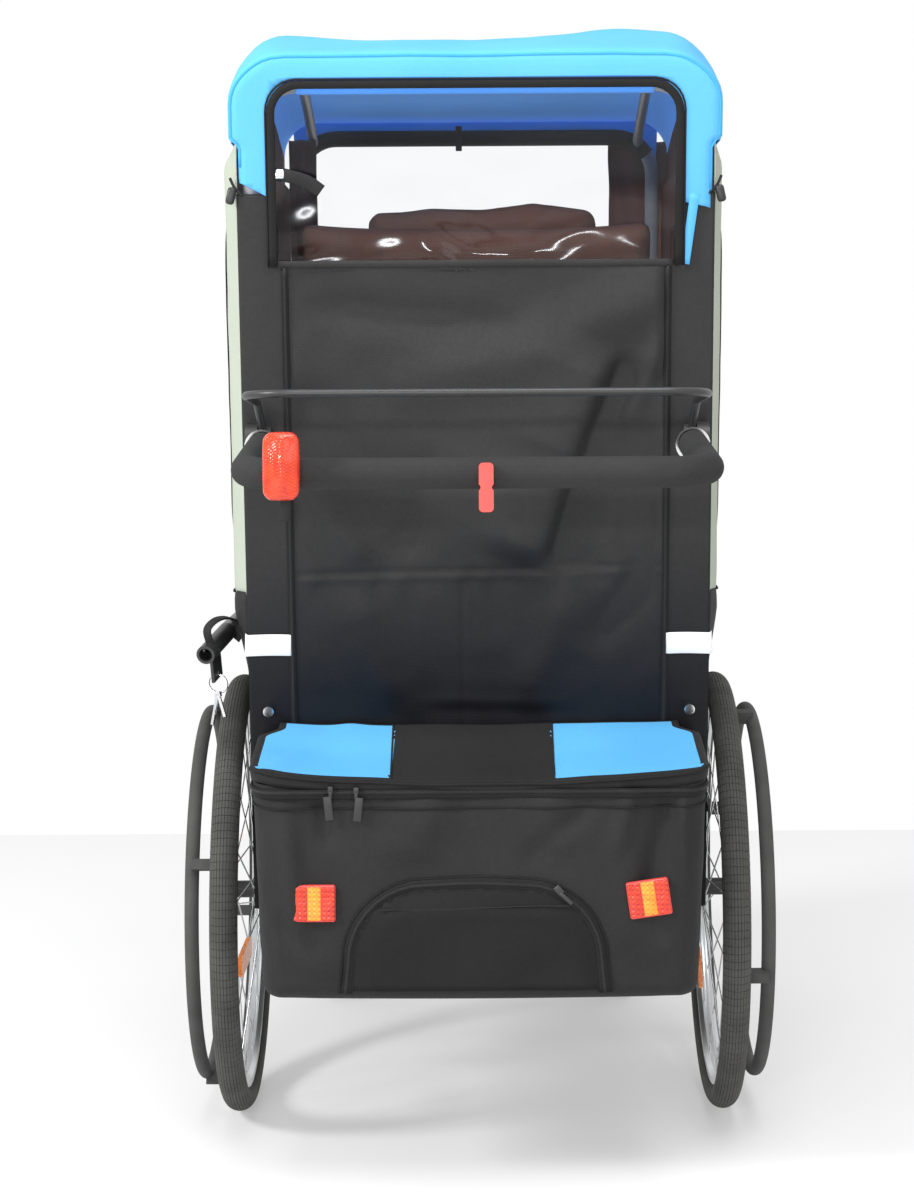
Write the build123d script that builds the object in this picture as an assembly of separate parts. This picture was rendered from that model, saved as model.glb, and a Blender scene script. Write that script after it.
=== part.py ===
"""Tall single-seat bicycle trailer with big spoked wheels, hand rims, a fabric cabin and a rear bag.

Units are millimetres. The model is laid out with y = 0 over the main axle, +Y towards the front,
+X to the right seen from behind and z = 0 on the ground. At the end everything is moved along Y
so that the origin lies under the middle of the trailer's box.
"""

import os
from math import atan2, cos, degrees, pi, radians, sin, sqrt, tan

from build123d import *

# Fits and general clearances
SEAT_GAP = 0.3          # between a piece and the piece that carries it, where curved
RUN_FIT = 0.05          # radial clearance of a turning shaft
FAR = 3000.0            # reach of cutting blocks, beyond everything
FABRIC_T = 4.0          # a fabric wall with its binding and lining

# Main wheels
WHEEL_R = 305.0
WHEEL_OUT = 33.0        # tyre's middle outside the cabin's side
TYRE_W = 37.0
TYRE_H = 36.0
RIM_W = 24.0
RIM_DEPTH = 16.0
RIM_WALL = 2.5
HUB_W = 60.0
HUB_R = 15.0
FLANGE_R = 28.0
FLANGE_T = 3.0
FLANGE_SPACING = 44.0
SPOKE_R = 1.1
SPOKE_COUNT = 32
SPOKE_CIRCLE_R = 24.0
SPOKE_LACE = 68.0       # degrees from a spoke's hub hole to its rim hole
SPOKE_ELBOW = 1.9       # outer spokes clear the flange's edge by this much more at their heads
SPOKE_RIM_OFF = 3.0     # rim holes beside the wheel's middle plane
AXLE_R = 6.0
AXLE_NUT_R = 11.0
AXLE_NUT_T = 9.0
AXLE_PLATE = 44.0
HAND_RIM_IN = 53.0      # hand rim's circle inside the tyre's
HAND_RIM_TUBE_R = 9.5
HAND_RIM_OUT = 46.0     # hand rim's plane outside the wheel's plane
HAND_RIM_TABS = 4
TAB_W = 14.0
TAB_RIM_LAP = 4.0       # tabs end this far inside the rim's edge
TAB_PHASE = {"left": 162.0, "right": 195.7}
REFLECTOR_L = 76.0
REFLECTOR_W = 30.0
REFLECTOR_T = 6.0
REFLECTOR_IN = 129.0    # spoke reflector's middle inside the tyre's circle
# turn of each wheel's lacing in degrees, and the spokes that carry its reflectors
SPOKE_PHASE = {"left": -15.2, "right": -6.6}
REFLECTOR_SPOKES = {"left": (3, 19), "right": (8, 28)}

# Lower frame: square tube
RAIL = 25.0
RAIL_IN = 19.0          # rails inside the cabin's sides
RAIL_REAR_Y = -180.0
RAIL_FRONT_Y = 715.0
MID_CROSS_Y = 300.0

# Front casters
CASTER_R = 100.0
CASTER_W = 30.0
CASTER_IN = 64.0        # casters inside the cabin's sides
CASTER_TRAIL = 45.0
CASTER_TYRE_H = 30.0    # rubber outside the core
FORK_GAP = 3.0
FORK_T = 5.0
FORK_BLADE_W = 34.0
FORK_CROWN_T = 10.0
FORK_CROWN_GAP = 12.0
STEM_R = 8.0
HOUSING_R = 18.0
HOUSING_GAP = 1.0
CASTER_PIN_R = 5.0

# Cabin
BODY_HALF = 304.0
FLOOR_BEVEL = 20.0      # tub's slanted lower edges, clear of the hubs
POST_NOTCH = 27.0       # square cut-outs in the floor for the posts
WALL_Y0 = -198.0        # outer face of the rear wall at floor height
WALL_LEAN = 11.8        # degrees, top to the rear
POST_Y0 = 684.0         # front posts at floor height
POST_LEAN = 10.5        # degrees, top to the rear
TUB_RISE = 432.5        # heights above the floor
APRON_RISE = 252.5
APRON_AHEAD = 18.0      # apron's face ahead of the posts' centre lines
NOSE_Y = 706.0
NOSE_RISE = 82.5
SIDE_TOP_GAP = 4.0      # side panels end below the roof's skirt
SIDE_BULGE = 16.0       # slack side panels stand out this far at the middle
ROOF_SKIRT_DROP = 124.0 # heights below and above the roof's rear edge
ROOF_RISE = 1110.5      # roof's rear edge above the floor
ROOF_CROWN_RISE = 87.0
ROOF_CROWN_AHEAD = 12.0 # crown ahead of the roof's middle
ROOF_FRONT_RISE = 27.0
ROOF_FRONT_AHEAD = 26.8 # roof's front edge ahead of the posts
ROOF_OUT = 9.0          # roof's sides outside the cabin's
ROOF_CORNER_R = 50.0
HOOP_R = 11.0
HOOP_BEND_R = 60.0
HOOP_IN = 18.0          # posts inside the cabin's sides
HOOP_TOP_GAP = 30.0     # hoop's top bar below the roof's edge
ROOF_RAIL_R = 8.0
ROOF_RAIL_IN = 42.0
ROOF_RAIL_DROP = 26.0

# Rear wall openings, heights along z
WINDOW_LOW_DROP = 251.0 # below the roof's rear edge
WINDOW_TOP_DROP = 27.0
WINDOW_IN = 44.0
WINDOW_R = 45.0
CANOPY_LEG_DROP = 164.0
PVC_T = 1.5
SIDE_WINDOW_MARGIN = 70.0
SIDE_WINDOW_R = 60.0

# Seat
SEAT_IN = 66.0
SEAT_LEG_RISE = 144.5
SEAT_T = 60.0
SEAT_REAR_Y = -215.0
SEAT_FRONT_Y = 300.0
SEAT_LEG_R = 9.5
SEAT_LEG_IN = 18.0      # legs inside the cushion's sides
SEAT_LEG_YS = (-60.0, 240.0)
SEAT_LEG_BEND_R = 45.0
BACK_T = 45.0
BACK_TOP_DROP = 188.0   # below the roof's rear edge
BACK_GAP = 46.0
HEADREST_HALF = 158.0
HEADREST_H = 110.0
HEADREST_CORNER_R = 52.0
HEADREST_RISE = 23.0
HEADREST_T = 40.0

# Push handle and brake bail
HANDLE_RISE = 632.5     # pivot above the floor
HANDLE_IN = 31.5        # side arms' centre lines inside the cabin's sides
HANDLE_DROP = 34.0
HANDLE_REACH = 305.0    # bar behind its pivot
HANDLE_TUBE_R = 10.0
HANDLE_BEND_R = 42.0
HANDLE_EYE_R = 19.0
HANDLE_EYE_T = 16.0
HANDLE_PIN_R = 5.0
GRIP_R = 18.5
GRIP_START = 62.0       # foam begins this far from the pivot
KNUCKLE_R = 22.0
KNUCKLE_T = 16.0
KNUCKLE_GAP = 1.0
KNUCKLE_STAND_OFF = 26.0
BAIL_R = 5.0
BAIL_OUT = 6.5          # bail's arms outside the handle's
BAIL_BAR_RISE = 60.0    # cross bar above the pivot
BAIL_BAR_REACH = 255.0
BAIL_KNEE_RISE = 50.0
BAIL_KNEE_REACH = 48.0
BAIL_BEND_R = 60.0
LATCH_X = 10.0
LATCH_W = 17.0
LATCH_T = 6.0
LATCH_H = 57.0
LATCH_CORNER_R = 5.0
LATCH_WAIST_R = 4.0     # notches between the lobes
LATCH_DROP = 16.0       # clip's middle below the bar's middle
LAMP_IN = 46.5          # lamp's middle inside the left arm
LAMP_W = 43.0
LAMP_H = 79.0
LAMP_D = 26.0
LAMP_RISE = 10.0
LAMP_EDGE_R = 9.0
LAMP_BAND_W = 18.0
LAMP_BAND_IN = 9.0      # band's middle beside the lamp's middle, on the bar's straight run
LAMP_BAND_T = 3.0

# Rear bag
BAG_REAR_Y = -460.0
BAG_IN = 18.0           # bag's top corners inside the cabin's sides
BAG_TAPER = 13.0        # each side draws in by this towards the foot
BAG_RISE = 244.5        # top at the wall above the floor
BAG_FALL = 36.0         # top's fall to the rear
BAG_DROP = 63.5         # foot below the floor
BAG_EDGE_R = 30.0
BAG_GAP = 0.5
LID_T = 14.0
LID_GAP = 0.5
LID_NOTCH = 24.0        # lid's front corners are cut back beside the knobs
LID_NOTCH_L = 42.0
LID_CORNER_R = 28.0
POCKET_LEFT = -170.0
POCKET_RIGHT = 157.0
POCKET_ARCH_R = 100.0   # rounded top corners
POCKET_TOP = 150.0      # above the bag's foot
POCKET_LOW = 31.0
POCKET_T = 14.0
BAG_REFLECTOR_W = 53.0
BAG_REFLECTOR_H = 46.0
BAG_REFLECTOR_T = 9.0
BAG_REFLECTOR_R = 7.0
# x, z and tilt in degrees of each reflector on the bag
BAG_REFLECTORS = ((-206.0, 123.0, 0.0), (210.0, 127.0, -8.0))
KNOB_IN = 26.0          # knobs inside the cabin's sides
KNOB_RISE = 32.0        # above the bag's top
KNOB_R = 7.0
KNOB_L = 15.0
BAND_RISE = 362.5
BAND_H = 29.0
BAND_W = 56.0
BAND_T = 1.0

# Tow arm, stowed along the left side above the wheel
ARM_OUT = 36.0          # arm outside the cabin's left side
ARM_RISE = 372.5
ARM_R = 12.5
ARM_REAR_Y = -196.0
COUPLER_L = 72.0
COUPLER_NECK = 16.0
COUPLER_BORE_R = 9.0
COUPLER_BORE_L = 58.0
COUPLER_OUT = 19.0      # sideways, rearward and downward parts of the coupler's direction
COUPLER_BACK = 80.0
COUPLER_FALL = 22.0
PIN_HOLE_R = 4.0
PIN_HOLE_IN = 20.0      # from the coupler's mouth
ARM_PIN_R = 8.0
ARM_EYE_R = 20.0
ARM_EYE_H = 30.0
BRACKET_T = 6.0
BRACKET_GAP = 0.5
BRACKET_D = 40.0
BRACKET_LAP = 6.0       # block's rear face ahead of the post's centre line
BRACKET_IN = 19.0       # block's reach inside the post's centre line
TOW_PLATE_L = 34.0
TOW_PLATE_H = 40.0
TOW_PLATE_T = 4.0
TOW_RING_R = 13.0
TOW_RING_WIRE_R = 1.5


def rad_tan(angle):
    return tan(radians(angle))


# Derived places
RAIL_Z = WHEEL_R
FLOOR_Z = RAIL_Z + RAIL / 2
RIM_R = WHEEL_R - TYRE_H + 4.0
WHEEL_X = BODY_HALF + WHEEL_OUT
HAND_RIM_R = WHEEL_R - HAND_RIM_IN
REFLECTOR_R = WHEEL_R - REFLECTOR_IN
RAIL_FRONT_CROSS_Y = RAIL_FRONT_Y - RAIL / 2
CASTER_Y = RAIL_FRONT_CROSS_Y
CASTER_X = BODY_HALF - CASTER_IN
CASTER_CORE_R = CASTER_R - CASTER_TYRE_H
RAIL_X = BODY_HALF - RAIL_IN
HOOP_HALF = BODY_HALF - HOOP_IN
ROOF_HALF = BODY_HALF + ROOF_OUT
ROOF_RAIL_X = BODY_HALF - ROOF_RAIL_IN
WINDOW_HALF = BODY_HALF - WINDOW_IN
SEAT_HALF = BODY_HALF - SEAT_IN
SEAT_LEG_X = SEAT_HALF - SEAT_LEG_IN
HANDLE_HALF = BODY_HALF - HANDLE_IN
BAIL_HALF = HANDLE_HALF + BAIL_OUT
LAMP_X = LAMP_IN - HANDLE_HALF
BAG_TOP_HALF = BODY_HALF - BAG_IN
BAG_FOOT_HALF = BAG_TOP_HALF - BAG_TAPER
KNOB_X = BODY_HALF - KNOB_IN
BAND_IN_X = BODY_HALF - BAND_W
ARM_X = -(BODY_HALF + ARM_OUT)
TUB_TOP_Z = FLOOR_Z + TUB_RISE
APRON_TOP_Z = FLOOR_Z + APRON_RISE
NOSE_Z = FLOOR_Z + NOSE_RISE
ROOF_REAR_Z = FLOOR_Z + ROOF_RISE
ROOF_CROWN_Z = ROOF_REAR_Z + ROOF_CROWN_RISE
ROOF_FRONT_Z = ROOF_REAR_Z + ROOF_FRONT_RISE
ROOF_SKIRT_Z = ROOF_REAR_Z - ROOF_SKIRT_DROP
SIDE_TOP_Z = ROOF_SKIRT_Z - SIDE_TOP_GAP
WINDOW_LOW_Z = ROOF_REAR_Z - WINDOW_LOW_DROP
WINDOW_TOP_Z = ROOF_REAR_Z - WINDOW_TOP_DROP
CANOPY_LEG_Z = ROOF_REAR_Z - CANOPY_LEG_DROP
BACK_TOP_Z = ROOF_REAR_Z - BACK_TOP_DROP
SEAT_LEG_TOP_Z = FLOOR_Z + SEAT_LEG_RISE
HANDLE_PIVOT_Z = FLOOR_Z + HANDLE_RISE
BAG_BACK_Z = FLOOR_Z + BAG_RISE
BAG_REAR_Z = BAG_BACK_Z - BAG_FALL
BAG_FOOT_Z = FLOOR_Z - BAG_DROP
KNOB_Z = BAG_BACK_Z + KNOB_RISE
BAND_Z = FLOOR_Z + BAND_RISE
ARM_Z = FLOOR_Z + ARM_RISE


def wall_y(z):
    """Outer face of the leaning rear wall at height z."""
    return WALL_Y0 - (z - FLOOR_Z) * rad_tan(WALL_LEAN)


def post_y(z):
    """Centre line of the leaning front posts at height z."""
    return POST_Y0 - (z - FLOOR_Z) * rad_tan(POST_LEAN)


ROOF_FRONT_Y = post_y(ROOF_FRONT_Z) + ROOF_FRONT_AHEAD
ROOF_CROWN_Y = (wall_y(ROOF_REAR_Z) + ROOF_FRONT_Y) / 2 + ROOF_CROWN_AHEAD
WALL_IN = FABRIC_T / cos(radians(WALL_LEAN))    # wall thickness along Y
HANDLE_PIVOT_Y = wall_y(HANDLE_PIVOT_Z) - KNUCKLE_STAND_OFF
HANDLE_BAR_Y = HANDLE_PIVOT_Y - HANDLE_REACH
HANDLE_BAR_Z = HANDLE_PIVOT_Z - HANDLE_DROP
REAR_Y = HANDLE_BAR_Y - GRIP_R - SEAT_GAP - LAMP_BAND_T - LAMP_D
FRONT_Y = max(RAIL_FRONT_Y, CASTER_Y + HOUSING_R, CASTER_Y - CASTER_TRAIL + CASTER_R)
ORIGIN_SHIFT_Y = -(REAR_Y + FRONT_Y) / 2
LID_HINGE_Z = BAG_BACK_Z + LID_GAP + LID_T
LID_HINGE_Y = wall_y(LID_HINGE_Z) - BAG_GAP
ARM_PIVOT_Y = post_y(ARM_Z) + BRACKET_LAP + BRACKET_D / 2
SIDES = {"left": -1, "right": 1}


def wall_plane(inset=0.0):
    """Plane on the rear wall: local x to the right, local y up the wall, z out to the rear."""
    lean = radians(WALL_LEAN)
    out = Vector(0, -cos(lean), -sin(lean))
    return Plane(Vector(0, WALL_Y0, FLOOR_Z) - out * inset, x_dir=(1, 0, 0), z_dir=out)


def up_wall(z, inset=0.0):
    """Distance up the leaning wall, or up a plane inset from it, to height z."""
    lean = radians(WALL_LEAN)
    return (z - FLOOR_Z - inset * sin(lean)) / cos(lean)


def post_plane():
    """Plane through the front posts' centre lines: local y up the posts."""
    lean = radians(POST_LEAN)
    out = Vector(0, -cos(lean), -sin(lean))
    return Plane(Vector(0, POST_Y0, FLOOR_Z), x_dir=(1, 0, 0), z_dir=out)


def up_post(z):
    return (z - FLOOR_Z) / cos(radians(POST_LEAN))


def side_prism(points, half):
    """Solid of a side outline, given as (y, z) points, from x = -half to x = +half."""
    outline = make_face(Polyline([(0, y, z) for y, z in points], close=True))
    return extrude(outline, amount=half, dir=(1, 0, 0), both=True)


def turned(profile_points, x, z=WHEEL_R, y=0.0):
    """Solid of revolution about the X direction: points are (along x, radius)."""
    face = make_face(Polyline([(a, 0, r) for a, r in profile_points], close=True))
    return Pos(x, y, z) * revolve(face, Axis.X, 360)


def rod(start, end, radius):
    """Straight round rod between two points."""
    start, end = Vector(start), Vector(end)
    along = end - start
    section = Plane(start, z_dir=along) * Circle(radius)
    return extrude(section, amount=along.length, dir=along)


def tube_along(path, radius):
    """Round solid swept along a path of straight runs and tangent arcs."""
    section = Plane(path @ 0, z_dir=path % 0) * Circle(radius)
    return sweep(section, path=path)


# Main wheels
def tyre(x):
    half, crown = TYRE_W / 2, TYRE_H / 2
    centre_r = WHEEL_R - crown
    profile = Pos(0, 0, centre_r) * (Plane.XZ * Ellipse(half, crown))
    bead = Pos(0, 0, RIM_R - RIM_DEPTH / 2) * (Plane.XZ * Rectangle(2 * TYRE_W, RIM_DEPTH))
    return Pos(x, 0, WHEEL_R) * revolve(profile - bead, Axis.X, 360)


def rim(x):
    half, inner = RIM_W / 2, RIM_R - RIM_DEPTH
    points = [(-half, RIM_R), (-half, inner + 6), (-half + 6, inner), (half - 6, inner),
              (half, inner + 6), (half, RIM_R), (half - RIM_WALL, RIM_R),
              (half - RIM_WALL, inner + 8), (-half + RIM_WALL, inner + 8), (-half + RIM_WALL, RIM_R)]
    return turned(points, x)


def hub(x):
    half, step = HUB_W / 2, FLANGE_SPACING / 2
    a, b = step - FLANGE_T / 2, step + FLANGE_T / 2
    waist = HUB_R - 3
    points = [(-half, HUB_R), (-b, HUB_R), (-b, FLANGE_R), (-a, FLANGE_R), (-a, HUB_R), (-a + 8, waist),
              (a - 8, waist), (a, HUB_R), (a, FLANGE_R), (b, FLANGE_R), (b, HUB_R), (half, HUB_R)]
    bore = AXLE_R + RUN_FIT
    return turned([(-half, bore), *points, (half, bore)], x)


def spoke_ends(x, i, phase):
    """Head and rim end of one spoke; each head lies against one face of its flange."""
    stand = FLANGE_T / 2 + SPOKE_R + RUN_FIT
    rim_r = RIM_R - RIM_DEPTH - SEAT_GAP
    flange = 1 if i % 2 else -1
    lace = 1 if (i // 2) % 2 else -1
    rim_angle = radians(i * 360 / SPOKE_COUNT + phase)
    hub_angle = rim_angle + lace * radians(SPOKE_LACE)
    hub_x = flange * (FLANGE_SPACING / 2) + lace * (stand + (SPOKE_ELBOW if lace == flange else 0.0))
    head = Vector(x + hub_x, SPOKE_CIRCLE_R * cos(hub_angle), WHEEL_R + SPOKE_CIRCLE_R * sin(hub_angle))
    tip = Vector(x + flange * SPOKE_RIM_OFF, rim_r * cos(rim_angle), WHEEL_R + rim_r * sin(rim_angle))
    return head, tip


def spokes(x, phase):
    """Spokes laced across each other."""
    return [rod(*spoke_ends(x, i, phase), SPOKE_R) for i in range(SPOKE_COUNT)]


def hand_rim(x, side, phase):
    """Push ring with tabs that reach in to the side of the wheel's rim."""
    ring = Pos(x + side * HAND_RIM_OUT, 0, WHEEL_R) * (Rot(0, 90, 0) * Torus(HAND_RIM_R, HAND_RIM_TUBE_R))
    rim_face = RIM_W / 2
    length = HAND_RIM_OUT - rim_face
    reach = RIM_R - TAB_RIM_LAP - HAND_RIM_R
    for i in range(HAND_RIM_TABS):
        tab = Pos(x + side * (rim_face + length / 2), HAND_RIM_R + reach / 2, WHEEL_R) * Box(length, reach, TAB_W)
        turn = Axis((x, 0, WHEEL_R), (1, 0, 0))
        ring += tab.rotate(turn, phase + i * 360 / HAND_RIM_TABS)
    return ring


def spoke_reflectors(x, side, phase, carriers):
    """Amber plates clipped along single spokes, on the side of the wheel that faces the cabin."""
    made = []
    for i in carriers:
        head, tip = spoke_ends(x, i, phase)
        along = (tip - head).normalized()
        share = (REFLECTOR_R - SPOKE_CIRCLE_R) / (RIM_R - RIM_DEPTH - SPOKE_CIRCLE_R)
        inward = Vector(-side, 0, 0)
        inward = (inward - along * inward.dot(along)).normalized()
        seat = Plane(head + (tip - head) * share, x_dir=along, z_dir=inward)
        plate = fillet(Box(REFLECTOR_L, REFLECTOR_W, REFLECTOR_T).edges().filter_by(Axis.Z), 10)
        made.append(seat * (Pos(0, 0, SPOKE_R + SEAT_GAP + REFLECTOR_T / 2) * plate))
    return made


def axle(side):
    """Stub axle: plate on the rail, shaft through the hub, and the nut outside."""
    rail_face = RAIL_X + RAIL / 2
    hub_in, hub_out = WHEEL_X - HUB_W / 2, WHEEL_X + HUB_W / 2
    plate_t = 4.0
    end = hub_out + 0.5 + AXLE_NUT_T
    plate = Pos(side * (rail_face + plate_t / 2), 0, RAIL_Z) * Box(plate_t, 2 * AXLE_PLATE, RAIL)
    shaft = Pos(side * (rail_face + end) / 2, 0, RAIL_Z) * (Rot(0, 90, 0) * Cylinder(AXLE_R, end - rail_face))
    nut = Pos(side * (hub_out + 0.5 + AXLE_NUT_T / 2), 0, RAIL_Z) * (Rot(0, 90, 0) * Cylinder(AXLE_NUT_R, AXLE_NUT_T))
    return plate + shaft + nut


# Lower frame
def side_rails():
    length = RAIL_FRONT_Y - RAIL_REAR_Y
    middle = (RAIL_FRONT_Y + RAIL_REAR_Y) / 2
    return [Pos(side * RAIL_X, middle, RAIL_Z) * Box(RAIL, length, RAIL) for side in SIDES.values()]


def cross_tubes():
    width = 2 * (RAIL_X - RAIL / 2)
    places = (RAIL_REAR_Y + RAIL / 2, MID_CROSS_Y, RAIL_FRONT_CROSS_Y)
    return [Pos(0, y, RAIL_Z) * Box(width, RAIL, RAIL) for y in places]


# Front casters
CASTER_AXLE_Y = CASTER_Y - CASTER_TRAIL
CROWN_Z = 2 * CASTER_R + FORK_CROWN_GAP
CROWN_TOP_Z = CROWN_Z + FORK_CROWN_T
HOUSING_LOW_Z = CROWN_TOP_Z + HOUSING_GAP
HOUSING_TOP_Z = RAIL_Z - RAIL / 2


def caster_housing(side):
    height = HOUSING_TOP_Z - HOUSING_LOW_Z
    body = Cylinder(HOUSING_R, height) - Cylinder(STEM_R + RUN_FIT, height)
    return Pos(side * CASTER_X, CASTER_Y, (HOUSING_LOW_Z + HOUSING_TOP_Z) / 2) * body


def caster_fork(side):
    """Crown, two raked blades, swivel stem and wheel pin."""
    x = side * CASTER_X
    stem_top = HOUSING_TOP_Z - 1.0
    stem = Pos(x, CASTER_Y, (CROWN_TOP_Z + stem_top) / 2) * Cylinder(STEM_R, stem_top - CROWN_TOP_Z)
    inner = CASTER_W / 2 + FORK_GAP
    outer = inner + FORK_T
    half = FORK_BLADE_W / 2
    eye = 14.0
    crown = Pos(x, CASTER_Y, CROWN_Z + FORK_CROWN_T / 2) * Box(2 * outer, FORK_BLADE_W, FORK_CROWN_T)
    outline = [(CASTER_Y + half, CROWN_TOP_Z), (CASTER_Y - half, CROWN_TOP_Z),
               (CASTER_AXLE_Y - eye, CASTER_R), (CASTER_AXLE_Y, CASTER_R - eye), (CASTER_AXLE_Y + eye, CASTER_R)]
    blades = side_prism(outline, outer) - side_prism(outline, inner)
    pin = Rot(0, 90, 0) * Cylinder(CASTER_PIN_R, 2 * outer)
    fork = crown + Pos(x, 0, 0) * blades + Pos(x, CASTER_AXLE_Y, CASTER_R) * pin
    return fork + stem


def caster_tyre(side):
    half = CASTER_W / 2
    crown = 6.0
    points = [(-half, CASTER_CORE_R), (-half, CASTER_R - crown), (-half + crown, CASTER_R),
              (half - crown, CASTER_R), (half, CASTER_R - crown), (half, CASTER_CORE_R)]
    return turned(points, side * CASTER_X, CASTER_R, CASTER_AXLE_Y)


def caster_core(side):
    """Dished plastic wheel centre with a hub boss and round lightening holes."""
    half, web, boss = CASTER_W / 2, 8.0, 16.0
    bore = CASTER_PIN_R + RUN_FIT
    rim_t = 8.0
    inner = CASTER_CORE_R - rim_t
    points = [(-half, bore), (-half, boss), (-web / 2, boss), (-web / 2, inner), (-half, inner),
              (-half, CASTER_CORE_R), (half, CASTER_CORE_R), (half, inner), (web / 2, inner),
              (web / 2, boss), (half, boss), (half, bore)]
    core = turned(points, side * CASTER_X, CASTER_R, CASTER_AXLE_Y)
    hole_r = (inner - boss) / 2 - 5
    hole_at = (inner + boss) / 2
    for i in range(6):
        hole = Rot(0, 90, 0) * Cylinder(hole_r, 2 * web)
        a = i * pi / 3
        core -= Pos(side * CASTER_X, CASTER_AXLE_Y + hole_at * cos(a), CASTER_R + hole_at * sin(a)) * hole
    return core


# Cabin frame
def hoop(plane, half, top, foot_z, grow=0.0):
    """Inverted U of round tube standing on the rails."""
    low = -40.0
    points = [(-half, low), (-half, top), (half, top), (half, low)]
    path = plane * FilletPolyline(*points, radius=HOOP_BEND_R)
    tube = tube_along(path, HOOP_R + grow)
    below = Pos(0, 0, foot_z - FAR) * Box(2 * FAR, 2 * FAR, 2 * FAR)
    return tube - below


WALL_TO_HOOP = FABRIC_T + HOOP_R + SEAT_GAP
REAR_HOOP_TOP = up_wall(ROOF_REAR_Z - HOOP_TOP_GAP)
FRONT_HOOP_TOP = up_post(ROOF_FRONT_Z - HOOP_TOP_GAP)


def rear_hoop():
    return hoop(wall_plane(WALL_TO_HOOP), HOOP_HALF, REAR_HOOP_TOP, FLOOR_Z)


def front_hoop():
    return hoop(post_plane(), HOOP_HALF, FRONT_HOOP_TOP, FLOOR_Z)


def hoop_point(plane, top):
    """Point (y, z) of a hoop's bent shoulder that carries a roof rail."""
    along = ROOF_RAIL_X - (HOOP_HALF - HOOP_BEND_R)
    drop = HOOP_BEND_R - sqrt(HOOP_BEND_R ** 2 - max(along, 0.0) ** 2)
    point = plane * Pos(0, top - drop, 0)
    return point.position.Y, point.position.Z


def roof_rails():
    """Arched side rails between the two hoops' shoulders, below the roof fabric."""
    rear_plane, front_plane = wall_plane(WALL_TO_HOOP), post_plane()
    rear = hoop_point(rear_plane, REAR_HOOP_TOP)
    front = hoop_point(front_plane, FRONT_HOOP_TOP)
    crown = (ROOF_CROWN_Y, ROOF_CROWN_Z - ROOF_RAIL_DROP)
    hoops = [hoop(rear_plane, HOOP_HALF, REAR_HOOP_TOP, FLOOR_Z, SEAT_GAP), hoop(front_plane, HOOP_HALF, FRONT_HOOP_TOP, FLOOR_Z, SEAT_GAP)]
    made = []
    for side in SIDES.values():
        x = side * ROOF_RAIL_X
        rail = tube_along(ThreePointArc((x, *rear), (x, *crown), (x, *front)), ROOF_RAIL_R)
        for hoop_tube in hoops:
            rail -= hoop_tube
        made.append(max(rail.solids(), key=lambda s: s.volume))
    return made


# Cabin panels
def tub_outline(inset):
    """Side outline of the fabric tub; the inner one is open to the top, the rear and the entry."""
    apron_y = post_y(APRON_TOP_Z) + APRON_AHEAD
    if not inset:
        return [(wall_y(FLOOR_Z) + WALL_IN, FLOOR_Z), (wall_y(TUB_TOP_Z) + WALL_IN, TUB_TOP_Z),
                (post_y(TUB_TOP_Z), TUB_TOP_Z), (post_y(APRON_TOP_Z), APRON_TOP_Z), (apron_y, APRON_TOP_Z),
                (NOSE_Y, NOSE_Z), (NOSE_Y, FLOOR_Z)]
    far, high = FAR, TUB_TOP_Z + FAR
    return [(-far, FLOOR_Z + inset), (-far, high), (far, high), (far, APRON_TOP_Z),
            (apron_y - inset, APRON_TOP_Z), (NOSE_Y - inset, NOSE_Z - inset / 2), (NOSE_Y - inset, FLOOR_Z + inset)]


def tub_section(inset, top):
    """Cross-section of the tub with slanted lower edges, run along Y."""
    half, low = BODY_HALF - inset, FLOOR_Z + inset
    bevel = FLOOR_BEVEL - inset * (2 - sqrt(2))
    points = [(half - bevel, low), (half, low + bevel), (half, top), (-half, top), (-half, low + bevel), (-half + bevel, low)]
    face = make_face(Polyline([(x, 0, z) for x, z in points], close=True))
    return extrude(face, amount=1000, dir=(0, 1, 0), both=True)


def tub():
    """Fabric floor, side walls and front apron in one sewn piece, with cut-outs for the posts."""
    outer = tub_section(0.0, TUB_TOP_Z) & side_prism(tub_outline(0.0), BODY_HALF + 50)
    inner = tub_section(FABRIC_T, TUB_TOP_Z + 50) & side_prism(tub_outline(FABRIC_T), BODY_HALF + 50)
    shell = outer - inner
    rear_y = wall_y(FLOOR_Z) + WALL_TO_HOOP
    for y, ahead, behind in ((rear_y, POST_NOTCH / 2, 3 * POST_NOTCH), (POST_Y0, POST_NOTCH / 2, POST_NOTCH / 2)):
        for side in SIDES.values():
            notch = Box(POST_NOTCH, ahead + behind, 2 * FLOOR_BEVEL + 20)
            shell -= Pos(side * HOOP_HALF, y + (ahead - behind) / 2, FLOOR_Z) * notch
    return shell


def wall_sheet(low_z, high_z, half, thick=FABRIC_T, inset=0.0):
    """Sheet on the rear wall between two heights."""
    low, high = up_wall(low_z), up_wall(high_z)
    face = wall_plane(inset) * (Pos(0, (low + high) / 2) * Rectangle(2 * half, high - low))
    return extrude(face, amount=-thick)


def window_hole(grow=0.0):
    low, high = up_wall(WINDOW_LOW_Z) - grow, up_wall(WINDOW_TOP_Z) + grow
    shape = Pos(0, (low + high) / 2) * RectangleRounded(2 * (WINDOW_HALF + grow), high - low, WINDOW_R + grow)
    return extrude(wall_plane() * shape, amount=40, both=True)


def rear_wall():
    """Black rear panel up to the window's sides."""
    return wall_sheet(FLOOR_Z, CANOPY_LEG_Z, BODY_HALF) - window_hole()


def canopy_back():
    """Blue upper part of the rear wall round the window, with rounded top corners."""
    sheet = wall_sheet(CANOPY_LEG_Z, ROOF_REAR_Z - FABRIC_T, BODY_HALF)
    corners = sheet.edges().filter_by(lambda e: abs(e.tangent_at(0.5).Y) > 0.9).sort_by(Axis.Z)[-2:]
    return fillet(corners, ROOF_CORNER_R) - window_hole()


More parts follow.
